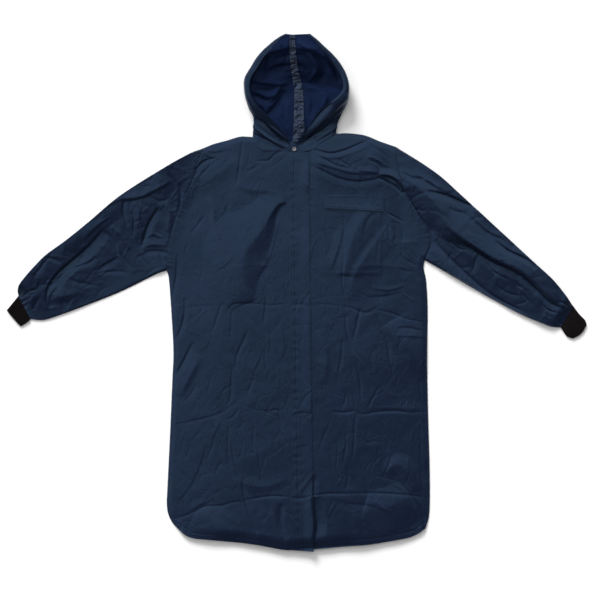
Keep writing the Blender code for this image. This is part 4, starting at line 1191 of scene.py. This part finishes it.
# %% A tree for ribs
cuff_tree, group_in = nodes_group("knit_ribs", ["Rib radius"])
rib_curve = add_node(cuff_tree, "GeometryNodeMeshToCurve", {0: group_in.outputs["Geometry"]})
rib_round = add_node(cuff_tree, "GeometryNodeCurvePrimitiveCircle",
                     {"Resolution": 8, "Radius": group_in.outputs["Rib radius"]})
rib_mesh = add_node(cuff_tree, "GeometryNodeCurveToMesh",
                    {"Curve": rib_curve.outputs[0], "Profile Curve": rib_round.outputs[0],
                     "Fill Caps": True})
rib_soft = add_node(cuff_tree, "GeometryNodeSetShadeSmooth", {0: rib_mesh.outputs[0]})
end_group(cuff_tree, group_in, rib_soft.outputs[0])

# %% Cuff tube
RIBS = 19
CUFF_ROWS = 26
# height of the cuff's turned edges, and how far it reaches into the sleeve
CUFF_TURN_Z = 2.0
TUCK = 2.5


def cuff_grid(under_edge, top_edge, bow, seed):
    """Rings of one cuff, its plan, and the lines that its ribs follow."""
    first = soft_line(under_edge, CUFF_ROWS)
    last = soft_line(top_edge, CUFF_ROWS)
    inwards = first[0] + last[0] - first[-1] - last[-1]
    tuck = inwards / np.linalg.norm(inwards) * TUCK
    first[0] += tuck
    last[0] += tuck
    columns = 4 * RIBS
    share = np.linspace(0, 1, columns + 1)
    open_end = even([first[-1], last[-1]], columns)
    chord = (last[-1] - first[-1]) / np.linalg.norm(last[-1] - first[-1])
    away = np.array([chord[1], -chord[0]]) * (1 if first[0, 0] > 0 else -1)
    open_end = open_end + away * (bow * np.sin(math.pi * share))[:, None]
    plan = patch(even([first[0], last[0]], columns), open_end, first, last)
    width = np.linalg.norm(last - first, axis=1)[:, None]
    from_edge = np.minimum(share, 1 - share)[None] * width
    along = np.linspace(0, 1, CUFF_ROWS + 1)[:, None]
    wave = 0.5 * np.sin(share * 19 + seed) * np.sin(along * 5 + seed)
    swell = 2.2 + wave + 0.9 * np.sin(math.pi * along)
    high = CUFF_TURN_Z + swell * round_turn(from_edge, 5.0)
    rib = 0.45 * np.sin(2 * math.pi * RIBS * share - math.pi / 2)
    high = high + rib * round_turn(from_edge, 4.0)
    low = CUFF_TURN_Z - 1.9 * round_turn(from_edge, 4.0)
    tucked = 0.55 + 0.45 * smooth(along, 0.03, 0.12)
    high, low = (CUFF_TURN_Z + (level - CUFF_TURN_Z) * tucked for level in (high, low))
    crests = slice(2, 4 * RIBS, 4)
    rib_lines = raised(plan[:, crests], high[:, crests] - 0.35).transpose(1, 0, 2)
    return tube_grid(plan, high, low, 2), plan, rib_lines


# %% Both cuffs
# edges, how far the open end bows out, seed
CUFFS = {
    "right": (CUFF_UNDER_RIGHT, CUFF_TOP_RIGHT, 1.0, 1),
    "left": (CUFF_UNDER_LEFT, CUFF_TOP_LEFT, 7.0, 2),
}
cuffs = {}
for side, sizes in CUFFS.items():
    grid, plan, rib_lines = cuff_grid(*sizes)
    cuffs[side] = (cloth_piece("knit_cuff_" + side, grid, 1.2, closed=True), plan,
                   lines_object("knit_ribs_" + side, rib_lines))

# %% [markdown]
# ## Hood
#
# The hood lies open on its back. Its seam runs up the middle, the crown climbs at the top, and
# the side walls rise to the rim of the face opening; near the neck they lean in and show their
# outer, coated side. A few cross-sections give the form. A smooth curve through their points,
# first along the hood and then across, makes the fine grid, and creases push it in and out along
# its own normals.

# %% Hood tables
# the centre seam: x, y, z
HOOD_SEAM = [
    (5, 409.4, 0), (6, 428, 0), (6, 448, 0), (6, 471, 0), (6, 497, 0), (6, 524, 0), (5, 552, 0),
    (0, 582, 5), (-6, 612, 17), (-9, 640, 29), (-11, 665, 37), (-11, 684, 41), (-11, 697, 43),
]
# for each section the widest place, x, y, z, and the rim of the face opening, x, y, z
HOOD_RIGHT = [
    (-120, 426.4, 2.5, -21, 384.4, 5.0), (-118, 443, 6.0, -18, 404, 6.5),
    (-117, 459, 9.0, -25, 424, 13.0), (-118, 480, 12.0, -46, 447, 21.0),
    (-130, 501, 15.0, -78, 481, 31.0), (-138, 525, 17.0, -111, 513, 35.0),
    (-142, 552, 19.0, -127, 547, 37.0), (-141, 582, 22.0, -124, 580, 38.0),
    (-122, 616, 27.0, -105, 611, 39.0), (-100, 647, 32.0, -85, 641, 42.0),
    (-72, 673, 37.0, -60, 665, 44.0), (-47, 690, 41.0, -43, 686, 46.0),
    (-29, 699, 43.0, -27, 694, 46.5),
]
HOOD_LEFT = [
    (108, 435.4, 2.5, -18, 384.4, 5.0), (109, 446, 6.0, -2, 408, 6.0),
    (112, 459, 9.0, 13, 426, 13.0), (121, 478, 12.0, 34, 453, 22.0),
    (130, 500, 15.0, 62, 495, 32.0), (141, 525, 17.0, 101, 523, 41.0),
    (144, 549, 19.0, 124, 549, 47.0), (140, 578, 22.0, 122, 580, 50.0),
    (127, 608, 28.0, 107, 608, 51.0), (106, 636, 34.0, 87, 635, 51.0),
    (79, 662, 38.0, 63, 660, 50.0), (55, 684, 41.0, 46, 682, 48.0),
    (36, 699, 43.0, 31, 694, 46.5),
]
# shares of the way from the seam to the widest place, and from there up to the rim
FLOOR_SHARES = [0.0, 0.25, 0.5, 0.75, 0.92]
SIDE_SHARES = [0.0, 0.12, 0.32, 0.55, 0.78, 1.0]
print("sections of the hood:", len(HOOD_SEAM))

# %% Creases of the hood's floor, and of its side walls as seen from above
HOOD_FLOOR_CREASES = [
    ([(248, 81), (263, 83.5), (276, 84.5), (292, 83)], 30, 7, 6.0),
    ([(286, 83), (300, 83), (314, 85), (330, 88.5), (347, 94)], (14, 30, 36, 36), (6, 7, 7, 6), -8.0),
    ([(256, 64), (266, 56), (279, 51.5), (293, 50), (308, 51.5), (322, 57), (334, 67)], 42, 9, 7.0),
    ([(268, 73), (275, 68), (288, 66), (301, 66), (308, 71)], 9, 12, -5.0),
    ([(274, 60), (286, 57), (300, 56), (311, 60)], 9, 7, -3.6),
    ([(283, 72), (292, 70), (304, 73)], 7, 6, 2.6),
    ([(286, 78), (296, 77), (306, 79)], 6, 6, -2.6),
    ([(268, 58), (266, 68), (268, 80)], 8, 10, -4.6),
    ([(308, 55), (314, 62), (317, 71), (309, 82)], 10, 7, 5.0),
    ([(312, 56), (320, 65), (322, 75), (316, 83)], 12, 8, -4.4),
    ([(324, 58), (333, 70), (340, 84)], 12, 12, -5.0),
    ([(280, 48), (286, 56), (284, 66)], 7, 7, -2.6),
    ([(296, 44), (306, 50), (318, 52)], 9, 7, 2.4),
    ([(252, 95), (259, 97), (268, 100.5), (275, 97)], 12, 8, -5.5),
    ([(267, 104), (273, 99), (279, 90), (282, 84)], 8, 7, 5.0),
    ([(284, 90), (280, 98), (274, 106), (266, 115)], 12, 8, -5.5),
    ([(258, 103), (264, 108), (268, 116)], 8, 8, 2.4),
    ([(308, 90), (312, 102), (310, 118)], 12, 10, -2.2),
    ([(322, 92), (327, 98), (322, 110)], 12, 10, 3.0),
    ([(256, 88), (266, 90), (276, 88)], 6, 8, -2.6),
    ([(304, 120), (307, 128), (304, 136)], 5, 6, -2.0),
    ([(284, 104), (283, 116), (287, 128)], 7, 7, -2.6),
    ([(276, 122), (281, 130), (286, 136)], 7, 6, 2.2),
]
HOOD_SIDE_CREASES = [
    ([(256, 118), (268, 127), (280, 137), (290, 146)], 8, 12, -5.5),
    ([(252, 126), (262, 134), (276, 144), (288, 149)], 9, 8, 4.4),
    ([(253, 134), (264, 139), (276, 146), (288, 151)], 8, 9, -4.4),
    ([(268, 126), (278, 133), (288, 142)], 6, 6, 3.0),
    ([(346, 110), (335, 120), (325, 128.5), (312, 137), (300, 145)], 12, 8, -4.2),
    ([(349, 98), (335, 111), (320, 125), (305, 138)], 10, 13, 5.0),
    ([(342, 124), (331, 132), (317, 140), (303, 147)], 9, 8, 2.6),
    ([(338, 133), (328, 140), (314, 147), (302, 150)], 8, 12, -1.4),
    ([(332, 104), (320, 114), (308, 128)], 6, 8, -4.0),
    ([(328, 143), (318, 147), (306, 151)], 6, 6, 1.0),
]

# %% Hood form
# fine rows for each section, how high the floor's cloth is heaped, and the width of the casing
HOOD_FINE = 9
HOOD_PILE = 4.0
CASING = 13
# the left rim rolls inwards by up to this, away from the neck and the crown
RIM_CURL = 7.5


def hood_section(seam, belly, rim, bend, steep, bowl, curl):
    """Points of one section, along the floor from the seam and then up the side wall."""
    seam, belly, rim = (np.asarray(spot, dtype=float) for spot in (seam, belly, rim))
    points = []
    for share in FLOOR_SHARES:
        flat = seam[:2] * (1 - share) + belly[:2] * share
        points.append((*flat, seam[2] * (1 - share ** 2.5) + bowl * belly[2] * share ** 2.5))
    for share in SIDE_SHARES:
        flat = even([belly[:2], *bend, rim[:2]], 100)[round(100 * share)]
        wall = (rim[2] - belly[2]) * math.sin(math.pi / 2 * share) ** steep
        points.append((*flat, belly[2] + wall - curl * share ** 1.5))
    return points


def grid_normals(grid):
    """Unit normals of a grid's points."""
    normal = np.cross(np.gradient(grid, axis=1), np.gradient(grid, axis=0))
    return normal / np.maximum(np.linalg.norm(normal, axis=2, keepdims=True), 1e-9)


def hood_form(rows, side):
    """The smooth form of one hood half through its sections; side is -1 right and 1 left."""
    sections = []
    for index, (seam, row) in enumerate(zip(HOOD_SEAM, rows)):
        left = side == 1
        # the left half's first section goes round the storm flap's corner
        bend = [(32, 384.4)] if left and index == 0 else []
        # near the neck the wall leans in, and further up it soon stands straight
        steep = 0.35 if index < 5 else 0.14
        curl = RIM_CURL * float(smooth(index, 4, 7) * smooth(12 - index, 0, 3)) if left else 0.0
        beside = (seam[0] + side * GAP / 2, seam[1], seam[2])
        bowl = float(smooth(index, 2, 6))
        sections.append(hood_section(beside, row[:3], row[3:], bend, steep, bowl, curl))
    fine = spline(np.array(sections), HOOD_FINE)
    return spline(fine.transpose(1, 0, 2), HOOD_FINE).transpose(1, 0, 2)


# %% Hood cloth
def hood_half(rows, side, seed):
    """The fine grid of one hood half, as far in as its cloth's inner face."""
    fine = hood_form(rows, side)
    normal = grid_normals(fine) * side
    if normal[20, 10, 2] < 0:
        normal = -normal
    x, y = fine[..., 0], fine[..., 1]
    column = np.arange(fine.shape[1])[None, :] / HOOD_FINE
    on_side = smooth(column, 4.2, 5.2)
    floor_rise = crease_height(x, y, on_plan(HOOD_FLOOR_CREASES, 1.5, 0.75))
    floor_rise = floor_rise + crumples(x, y, seed, (2.6, 2.2, 0.9))
    side_rise = -crease_height(x, y, on_plan(HOOD_SIDE_CREASES, 1.4, 0.7))
    side_rise = side_rise + 0.7 * crumples(x, y, seed + 5, (1.6, 1.6, 0.7))
    rim = np.linalg.norm(fine - fine[:, -1:], axis=2)
    casing = 0.4 * smooth(CASING - rim, -1.5, 1.5) - 0.4 * np.exp(-((rim - CASING) / 2.0) ** 2)
    row = np.arange(fine.shape[0])[:, None] / HOOD_FINE
    # creases fade out at the seam, the neck and the rim, which are held
    quiet = smooth(row, 0, 0.8) * smooth(10 - column, 0, 0.8)
    quiet = quiet * (0.25 + 0.75 * smooth(column, 0, 1.2))
    rise = (floor_rise * (1 - on_side) + side_rise * on_side) * quiet - casing * on_side
    pile = HOOD_PILE * smooth(row, 0.6, 3.0) * smooth(11.4 - row, 0, 2.5)
    rise += pile * smooth(4.6 - column, 0, 1.6)
    moved = fine + normal * (WALL + 0.1 + rise[..., None])
    moved[..., 2] = keep_above(moved[..., 2], WALL + 0.1, 0.3)
    # at the neck the hood's edge comes up to the body's cloth
    level = body_height(moved[0, :, 0], moved[0, :, 1]) - 0.4
    lifted = (level - moved[0, :, 2]) * smooth(column[0], 1.0, 3.5) * smooth(9.4 - column[0], 0, 1.6)
    moved[..., 2] += lifted[None] * (1 - smooth(row, 0, 3.4))
    return moved


hoods = {"right": hood_half(HOOD_RIGHT, -1, 81), "left": hood_half(HOOD_LEFT, 1, 91)}
hood_right = cloth_piece("cloth_hood_right", hoods["right"], WALL, two_sided=True)
hood_left = cloth_piece("cloth_hood_left", hoods["left"], WALL, two_sided=True)

# %% [markdown]
# ## Seam tape
#
# Where a needle has gone through, coated cloth leaks, so a strip of clear tape is heat-sealed
# over the seam. It shrinks as it cools and ends up finely crinkled and very shiny. The strip
# follows the hood's own floor on both sides of the seam.

# %% Seam tape
# half its width at the neck, what it loses of that towards the crown, and its lift off the cloth
TAPE_HALF = 16.5
TAPE_TAPER = 0.6
TAPE_LIFT = 2.4
TAPE_WALL = 0.25
TAPE_COLUMNS = 24
# points of the hood's rows that are looked at on each side of the seam
BESIDE_SEAM = 30


def tape_grid():
    """A strip along the hood's centre, a little above its cloth."""
    rows = []
    count = len(hoods["right"])
    for index in range(count):
        right, left = hoods["right"][index], hoods["left"][index]
        line = np.concatenate([right[:BESIDE_SEAM][::-1], left[:BESIDE_SEAM]])
        steps = np.linalg.norm(np.diff(line[:, :2], axis=0), axis=1)
        walk = np.concatenate([[0], np.cumsum(steps)])
        middle = (walk[BESIDE_SEAM - 1] + walk[BESIDE_SEAM]) / 2
        across = np.linspace(-1, 1, TAPE_COLUMNS + 1) * TAPE_HALF * (1 - TAPE_TAPER * index / count)
        rows.append(np.stack([np.interp(middle + across, walk, column) for column in line.T], axis=1))
    grid = spline(np.array(rows), 3)
    x, y = grid[..., 0], grid[..., 1]
    columns = np.arange(TAPE_COLUMNS + 1)
    edge = np.minimum(columns, TAPE_COLUMNS - columns)[None, :] / 3.0
    wrinkles = 4.6 * crumple(x, 2.2 * y, 15, 5) + 3.0 * crumple(x, 2.0 * y, 7.5, 15)
    grid[..., 2] += TAPE_LIFT + 0.9 * wrinkles * np.clip(edge, 0, 1)
    return grid[3:-3]


tape = cloth_piece("seal_tape", tape_grid(), TAPE_WALL)

# %% [markdown]
# ## Stitches
#
# Lock stitches run along the storm flap, the pocket, its flap, the hem, the armholes and the
# hood's casing. They repeat along a path, so Geometry Nodes set them: each line becomes a curve, the
# curve gets points a stitch apart, and each point one small thread loop turned along the line.

# %% A tree for stitches
stitch_tree, group_in = nodes_group("lock_stitch", ["Stitch length", "Stitch spacing", "Thread radius"])
seam_curve = add_node(stitch_tree, "GeometryNodeMeshToCurve", {0: group_in.outputs["Geometry"]})
spaced = add_node(stitch_tree, "GeometryNodeResampleCurve",
                  {"Curve": seam_curve.outputs[0], "Length": group_in.outputs["Stitch spacing"]},
                  mode="LENGTH")
loop = add_node(stitch_tree, "GeometryNodeMeshIcoSphere", {"Radius": 1.0, "Subdivisions": 1})
half = maths(stitch_tree, "MULTIPLY", group_in.outputs["Stitch length"], 0.5)
radius = group_in.outputs["Thread radius"]
shape = add_node(stitch_tree, "ShaderNodeCombineXYZ", {"X": half, "Y": radius, "Z": radius})
thread = add_node(stitch_tree, "GeometryNodeTransform",
                  {"Geometry": loop.outputs[0], "Scale": shape.outputs[0]})
tangent = add_node(stitch_tree, "GeometryNodeInputTangent")
turned = add_node(stitch_tree, "FunctionNodeAlignRotationToVector",
                  {"Vector": tangent.outputs[0]}, axis="X")
sewn = add_node(stitch_tree, "GeometryNodeInstanceOnPoints",
                {"Points": spaced.outputs[0], "Instance": thread.outputs[0],
                 "Rotation": turned.outputs[0]})
end_group(stitch_tree, group_in, sewn.outputs[0])

# %% Lines of stitches
def on_body(line, lift, aside=(0.0, 0.0)):
    """A line of the plan laid on the body's cloth."""
    line = np.asarray(line, dtype=float) + aside
    return np.concatenate([line, (body_height(line[:, 0], line[:, 1]) + lift)[:, None]], axis=1)


def casing_line(grid):
    """The line along a hood half where the rim's casing ends."""
    rows = []
    for line in grid[6:-6]:
        from_rim = np.linalg.norm(line - line[-1], axis=1)[::-1]
        rows.append([np.interp(CASING, from_rim, column[::-1]) for column in line.T])
    return np.array(rows)


placket_columns = [int(np.argmin(np.abs(placket_across - row))) for row in PLACKET_STITCHES]
left, right = POCKET_X[0] + STITCH_INSET, POCKET_X[1] - STITCH_INSET
bottom = POCKET_BOTTOM[0] + STITCH_INSET
pocket_line = even([(left, FLAP_BOTTOM[0]), (left, bottom), (right, bottom), (right, FLAP_BOTTOM[1])],
                   160)
flap_line = np.concatenate([flap_grid[-2:1:-1, 2], flap_grid[2, 2:-2], flap_grid[2:-1, -2]])
# the rows of stitches of each piece, each laid a little above its cloth
stitch_lines = {
    "cloth_storm_flap": [placket_grid[3:-3, column] + (0, 0, 0.15) for column in placket_columns],
    "cloth_pocket": [on_body(pocket_line, STEP_UP + 0.2)],
    "cloth_pocket_flap": [flap_line + (0, 0, 0.2)],
    "cloth_back": [on_body(hem_line[4:-4], 0.1, (0, HEM_FOLD)),
                   on_body(armhole_lines[0][2:-2], 0.1, (4.0, -1.0)),
                   on_body(armhole_lines[1][2:-2], 0.1, (-4.0, -1.0))],
    "cloth_hood_right": [casing_line(hoods["right"]) + (0, 0, 0.1)],
    "cloth_hood_left": [casing_line(hoods["left"]) + (0, 0, 0.1)],
}
print({name: len(lines) for name, lines in stitch_lines.items()})

# %% [markdown]
# ## Materials
#
# Each material is mixed from what the real one is. Colours are given as screen hex values and
# turned to linear ones. Patterns are sized in millimetres. The coated nylon is the main
# one: a tight plain weave under a thin film. The film gives a soft bluish shine that breaks up
# over small crinkles, and the weave is only seen from close by.

# %% Material helpers
def linear(hex_code):
    """Linear colour from an sRGB hex code."""
    parts = [int(hex_code[k:k + 2], 16) / 255 for k in (1, 3, 5)]
    return (*[c / 12.92 if c <= 0.04045 else ((c + 0.055) / 1.055) ** 2.4 for c in parts], 1.0)


def new_material(name, colour, roughness, **sockets):
    """A material with a Principled shader; its tree, shader and object coordinates to build on."""
    material = bpy.data.materials.new(name)
    material.use_nodes = True
    tree = material.node_tree
    shader = tree.nodes["Principled BSDF"]
    shader.inputs["Base Color"].default_value = linear(colour)
    shader.inputs["Roughness"].default_value = roughness
    for key, value in sockets.items():
        shader.inputs[key.replace("_", " ")].default_value = value
    where = add_node(tree, "ShaderNodeTexCoord").outputs["Object"]
    return material, tree, shader, where


def per_mm(size):
    """Scale of a pattern whose cells are that many millimetres across."""
    return 1 / (size * MM)


def per_band(size):
    """Scale of a wave pattern with ridges and grooves that many mm wide; diagonals, 1.4 times."""
    return per_mm(size) / 6.3


def noise(tree, where, size, detail, **sockets):
    """The outputs of a cloudy pattern with lumps about that many millimetres across."""
    return add_node(tree, "ShaderNodeTexNoise",
                    {"Vector": where, "Scale": per_mm(size), "Detail": detail, **sockets}).outputs


def mapped(tree, value, start, end, low, high, **settings):
    """A value from start to end, turned into one from low to high."""
    return add_node(tree, "ShaderNodeMapRange",
                    dict(enumerate((value, start, end, low, high))), **settings).outputs[0]


def two_tone(tree, shader, share, dark, light):
    """Mix the shader's colour from two, by a pattern."""
    tone = add_node(tree, "ShaderNodeMix", {0: share, 6: linear(dark), 7: linear(light)},
                    data_type="RGBA")
    tree.links.new(tone.outputs[2], shader.inputs["Base Color"])


def bump_chain(tree, shader, layers):
    """Bump from several heights, each with its depth in millimetres, coarse first."""
    normal = None
    for height, depth in layers:
        inputs = {"Height": height, "Distance": depth * MM, "Strength": 1.0}
        if normal is not None:
            inputs["Normal"] = normal
        normal = add_node(tree, "ShaderNodeBump", inputs).outputs[0]
    tree.links.new(normal, shader.inputs["Normal"])


def weave_height(tree, pitch):
    """Height of a plain weave on the cloth's own UV map, with threads a pitch apart in mm."""
    way = add_node(tree, "ShaderNodeUVMap", uv_map="cloth_way")
    scaled = maths(tree, "MULTIPLY", way.outputs[0], (math.pi / (pitch * MM),) * 3,
                   kind="ShaderNodeVectorMath")
    split = add_node(tree, "ShaderNodeSeparateXYZ", {0: scaled})
    warp, weft = (maths(tree, "SINE", split.outputs[k]) for k in (0, 1))
    return maths(tree, "MULTIPLY", warp, weft)


# %% Cloth from two colours
# the nylon's threads are about 0.2 mm apart, and are drawn wider so that a close view shows them
THREAD_PITCH = 0.6


def coated_cloth(name, dark, light, roughness, crinkle, **sockets):
    """Woven nylon: two close colours in soft patches, crinkles in three sizes, and the weave."""
    material, tree, shader, where = new_material(name, light, roughness, **sockets)
    two_tone(tree, shader, noise(tree, where, 110, 3.0)[0], dark, light)
    # where the film is more worn, it is duller and more creased
    worn = noise(tree, where, 45, 4.0)[0]
    gloss = mapped(tree, worn, 0.3, 0.7, roughness - 0.06, roughness + 0.08)
    tree.links.new(gloss, shader.inputs["Roughness"])
    drift = noise(tree, where, 40, 2.0)[1]
    bent = maths(tree, "MULTIPLY_ADD", drift, (0.035, 0.035, 0.0), where, kind="ShaderNodeVectorMath")
    drawn = maths(tree, "MULTIPLY", bent, (1.0, 0.55, 1.0), kind="ShaderNodeVectorMath")
    wide = noise(tree, where, 24, 3.0, Roughness=0.55, Distortion=0.8)[0]
    layers = [(wide, 0.38 * crinkle)]
    # two sizes of fine crease lines, along the borders of bent cells
    for size, low, depth in ((34, 0.44, 0.24), (15, 0.5, 0.13)):
        cells = add_node(tree, "ShaderNodeTexVoronoi", {"Vector": drawn, "Scale": per_mm(size)},
                         feature="DISTANCE_TO_EDGE")
        groove = mapped(tree, cells.outputs[0], 0.0, 0.09, 1.0, 0.0, interpolation_type="SMOOTHSTEP")
        shown = mapped(tree, worn, low, low + 0.16, 0.0, -1.0)
        layers.append((maths(tree, "MULTIPLY", groove, shown), depth * crinkle))
    bump_chain(tree, shader, layers + [(weave_height(tree, THREAD_PITCH), 0.02)])
    return material


# %% Cloth materials
# calendered nylon with a polyurethane film: navy, a satin shine that keeps the cloth's own blue
nylon = coated_cloth("polyurethane_coated_nylon", "#0a1223", "#151a30", 0.33, 1.0,
                     Specular_Tint=(0.35, 0.64, 1.0, 1.0), Specular_IOR_Level=0.55)
# the same nylon seen on its uncoated side: matt and a little more violet
lining = coated_cloth("uncoated_nylon_inside", "#06102a", "#0a1534", 0.6, 0.9,
                      Specular_Tint=(0.32, 0.55, 1.0, 1.0), Specular_IOR_Level=0.33,
                      Sheen_Weight=0.02, Sheen_Roughness=0.5)
# polyester sewing thread, dyed to match and a little darker than the cloth
thread_navy, tree, shader, where = new_material("polyester_thread", "#090e1c", 0.7,
                                                Specular_IOR_Level=0.1)
twist = add_node(tree, "ShaderNodeTexWave", {"Vector": where, "Scale": per_mm(1.2)},
                 bands_direction="DIAGONAL")
bump_chain(tree, shader, [(twist.outputs[1], 0.06)])

# %% Knit
# acrylic rib knit: black, wholly matt, with its stitches standing in rows across the ribs
knit, tree, shader, where = new_material("acrylic_rib_knit", "#18161a", 0.95, Specular_IOR_Level=0.05,
                                         Sheen_Weight=0.02, Sheen_Roughness=0.5)
fuzz = noise(tree, where, 1.6, 4.0)[0]
two_tone(tree, shader, fuzz, "#0b090a", "#1c1819")
courses = add_node(tree, "ShaderNodeTexWave",
                   {"Vector": where, "Scale": per_band(2.2), "Distortion": 1.5, "Detail": 2.0},
                   bands_direction="DIAGONAL")
bump_chain(tree, shader, [(courses.outputs[1], 0.5), (fuzz, 0.4)])

# %% Tape and snap
# polyurethane seam tape, heat-sealed: a clear glossy film over navy, crinkled where it shrank
film, tree, shader, where = new_material("heat_sealed_film", "#333a52", 0.11, IOR=1.6,
                                         Specular_IOR_Level=1.0, Specular_Tint=(0.5, 0.68, 1.0, 1.0))
wrinkle = noise(tree, where, 5, 3.0, Distortion=1.2)[0]
two_tone(tree, shader, wrinkle, "#060a18", "#0e142a")
bump_chain(tree, shader, [(wrinkle, 3.0)])
# turned brass with a nickel finish: grey, polished, with faint rings from the lathe
nickel, tree, shader, where = new_material("nickel_plated_brass", "#8c8c92", 0.28, Metallic=1.0)
centred = add_node(tree, "ShaderNodeMapping", {"Vector": where, "Location": (0.006, -0.392, 0.0)})
rings = add_node(tree, "ShaderNodeTexWave", {"Vector": centred.outputs[0], "Scale": per_band(0.8)},
                 wave_type="RINGS", rings_direction="Z")
bump_chain(tree, shader, [(rings.outputs[1], 0.03)])

# %% [markdown]
# ## Putting it together
#
# Each piece gets its material, rides on the only body and replaces its solid. For each cloth piece, the
# size and area that it was cut to, laid flat, are printed.

# %% Sew and rib
# real thread is about 0.3 mm thick; it is drawn twice as thick, so that its rows show
stitch_sizes = {"Stitch length": 2.6 * MM, "Stitch spacing": 3.4 * MM, "Thread radius": 0.3 * MM,
                "Material": thread_navy}
stitches = {}
for name, lines in stitch_lines.items():
    seam = lines_object("stitches_" + name.removeprefix("cloth_"), lines)
    stitches[name] = run_nodes(seam, stitch_tree, stitch_sizes)
ribs = {side: run_nodes(cuffs[side][2], cuff_tree, {"Rib radius": 0.95 * MM, "Material": knit})
        for side in ("right", "left")}


# %% Finish the pieces
def finish_piece(piece, node, slot, *materials):
    """Give a piece its materials and its body, and hide the solid it stands in for; slot is not used.
    """
    while len(piece.data.materials) < len(materials):
        piece.data.materials.append(None)
    for index, material in enumerate(materials):
        piece.data.materials[index] = material
    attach(piece, "root")
    if node:
        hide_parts(node)


for piece, node in ((back, "back_panel"), (front_right, "front_right"), (front_left, "front_left"),
                    (placket, "front_placket"), (pocket, "chest_pocket"), (flap, "pocket_flap")):
    finish_piece(piece, node, "coated_cloth", nylon)
finish_piece(hood_right, "hood_right", "hood_cloth", lining, nylon)
finish_piece(hood_left, "hood_left", "hood_cloth", lining, nylon)
finish_piece(tape, "hood_seam_tape", "seam_tape", film)
for item in stitches.values():
    finish_piece(item, None, "coated_cloth", thread_navy)
for side in ("right", "left"):
    finish_piece(sleeves[side][0], "sleeve_" + side, "coated_cloth", nylon)
    finish_piece(cuffs[side][0], "cuff_" + side, "rib_knit", knit)
    finish_piece(ribs[side], None, "rib_knit", knit)
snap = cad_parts["neck_snap"]
snap.data.materials.clear()
snap.data.materials.append(nickel)


def declare_sheet(piece, width, length, area):
    """Print the size and area of a piece's cut, laid flat, in metres."""
    print(f"{piece.name}: cut {width:.3f} x {length:.3f} m, {area:.3f} square metres")


def cut_sheet(piece, plan, layers=1):
    """A piece with its cut from its plan; a tube has two layers."""
    width, length = (plan.max(axis=(0, 1)) - plan.min(axis=(0, 1))) * MM
    declare_sheet(piece, layers * width, length, cut_area(plan) * layers)


cut_sheet(back, back_plan)
cut_sheet(front_right, plan_right)
cut_sheet(front_left, plan_left)
cut_sheet(placket, placket_plan)
cut_sheet(pocket, pocket_plan)
cut_sheet(flap, flap_plan)
for side in ("right", "left"):
    cut_sheet(sleeves[side][0], sleeves[side][1], layers=2)
    cut_sheet(cuffs[side][0], cuffs[side][1], layers=2)

# the hood isn't flat, so its cut is measured along its surface
for side, piece, parts in (("right", hood_right, [tape]), ("left", hood_left, [])):
    grid = hoods[side]
    width = np.linalg.norm(np.diff(grid, axis=1), axis=2).sum(axis=1).max() * MM
    length = np.linalg.norm(np.diff(grid, axis=0), axis=2).sum(axis=0).max() * MM
    declare_sheet(piece, width, length, cut_area(grid))

# %% [markdown]
# ## Floor, camera and light
#
# The floor is plain white. The camera looks straight down from four metres. The light comes from
# beyond the wearer's right shoulder: a wide window fills that half of the sky, so cloth that
# leans towards it shines and cloth that leans away goes deep blue, and a soft low lamp on the
# same side draws the shadows. The lamp is kept out of reflections, because from low in front its
# own reflection would turn all of the cloth silver.

# %% Floor and camera
FLOOR_HALF = 6
CAMERA_PLACE = (0.0092, -0.0173, 4.08)

floor_mesh = bpy.data.meshes.new("floor")
corners = [(-FLOOR_HALF, -FLOOR_HALF, 0), (FLOOR_HALF, -FLOOR_HALF, 0),
           (FLOOR_HALF, FLOOR_HALF, 0), (-FLOOR_HALF, FLOOR_HALF, 0)]
floor_mesh.from_pydata(corners, [], [(0, 1, 2, 3)])
floor = add_object("floor", floor_mesh)
white = new_material("matt_white_table", "#fafafa", 0.9, Specular_IOR_Level=0.0)[0]
floor.data.materials.append(white)
floor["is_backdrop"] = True

camera_data = bpy.data.cameras.new("camera")
camera_data.lens = 90
camera_data.sensor_width = 36
camera = add_object("camera", camera_data)
camera.location = CAMERA_PLACE
bpy.context.scene.camera = camera
print("camera at", CAMERA_PLACE)

# %% Lamp and sky
LAMP_HEADING = (-0.37, 0.93)
LAMP_ELEVATION = math.radians(23)
WINDOW_HEADING = (-0.42, 0.91, 0.0)
# strength of the sky away from the window and towards it
SKY_DARK = 0.14
SKY_LIGHT = 1.06

lamp_data = bpy.data.lights.new("low_soft_lamp", "SUN")
lamp_data.energy = 4.5
lamp_data.angle = math.radians(24)
lamp = add_object("low_soft_lamp", lamp_data)
lamp.rotation_euler = (math.pi / 2 - LAMP_ELEVATION, 0.0,
                       math.atan2(LAMP_HEADING[0], -LAMP_HEADING[1]))
lamp.visible_glossy = False

sky = bpy.data.worlds.new("studio_sky")
sky.use_nodes = True
tree = sky.node_tree
tree.nodes.clear()
way = add_node(tree, "ShaderNodeTexCoord").outputs["Generated"]
towards_window = add_node(tree, "ShaderNodeVectorMath", {0: way, 1: WINDOW_HEADING},
                          operation="DOT_PRODUCT")
level = mapped(tree, towards_window.outputs["Value"], -0.15, 0.17, SKY_DARK, SKY_LIGHT,
               interpolation_type="SMOOTHSTEP")
glow = add_node(tree, "ShaderNodeBackground", {"Color": (1.0, 1.0, 1.0, 1.0), "Strength": level})
add_node(tree, "ShaderNodeOutputWorld", {0: glow.outputs[0]})
bpy.context.scene.world = sky
bpy.context.scene.view_settings.view_transform = "Standard"
bpy.context.scene.view_settings.look = "None"

# %% Size and finish
seen_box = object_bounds()


def plain(values):
    """Boxes as plain lists of numbers."""
    return [plain(value) if hasattr(value, "__len__") else float(value) for value in values]


{"cad": plain(cad_box), "visual": plain(seen_box)}
print("CAD box", plain(cad_box))
print("visual box", plain(seen_box))
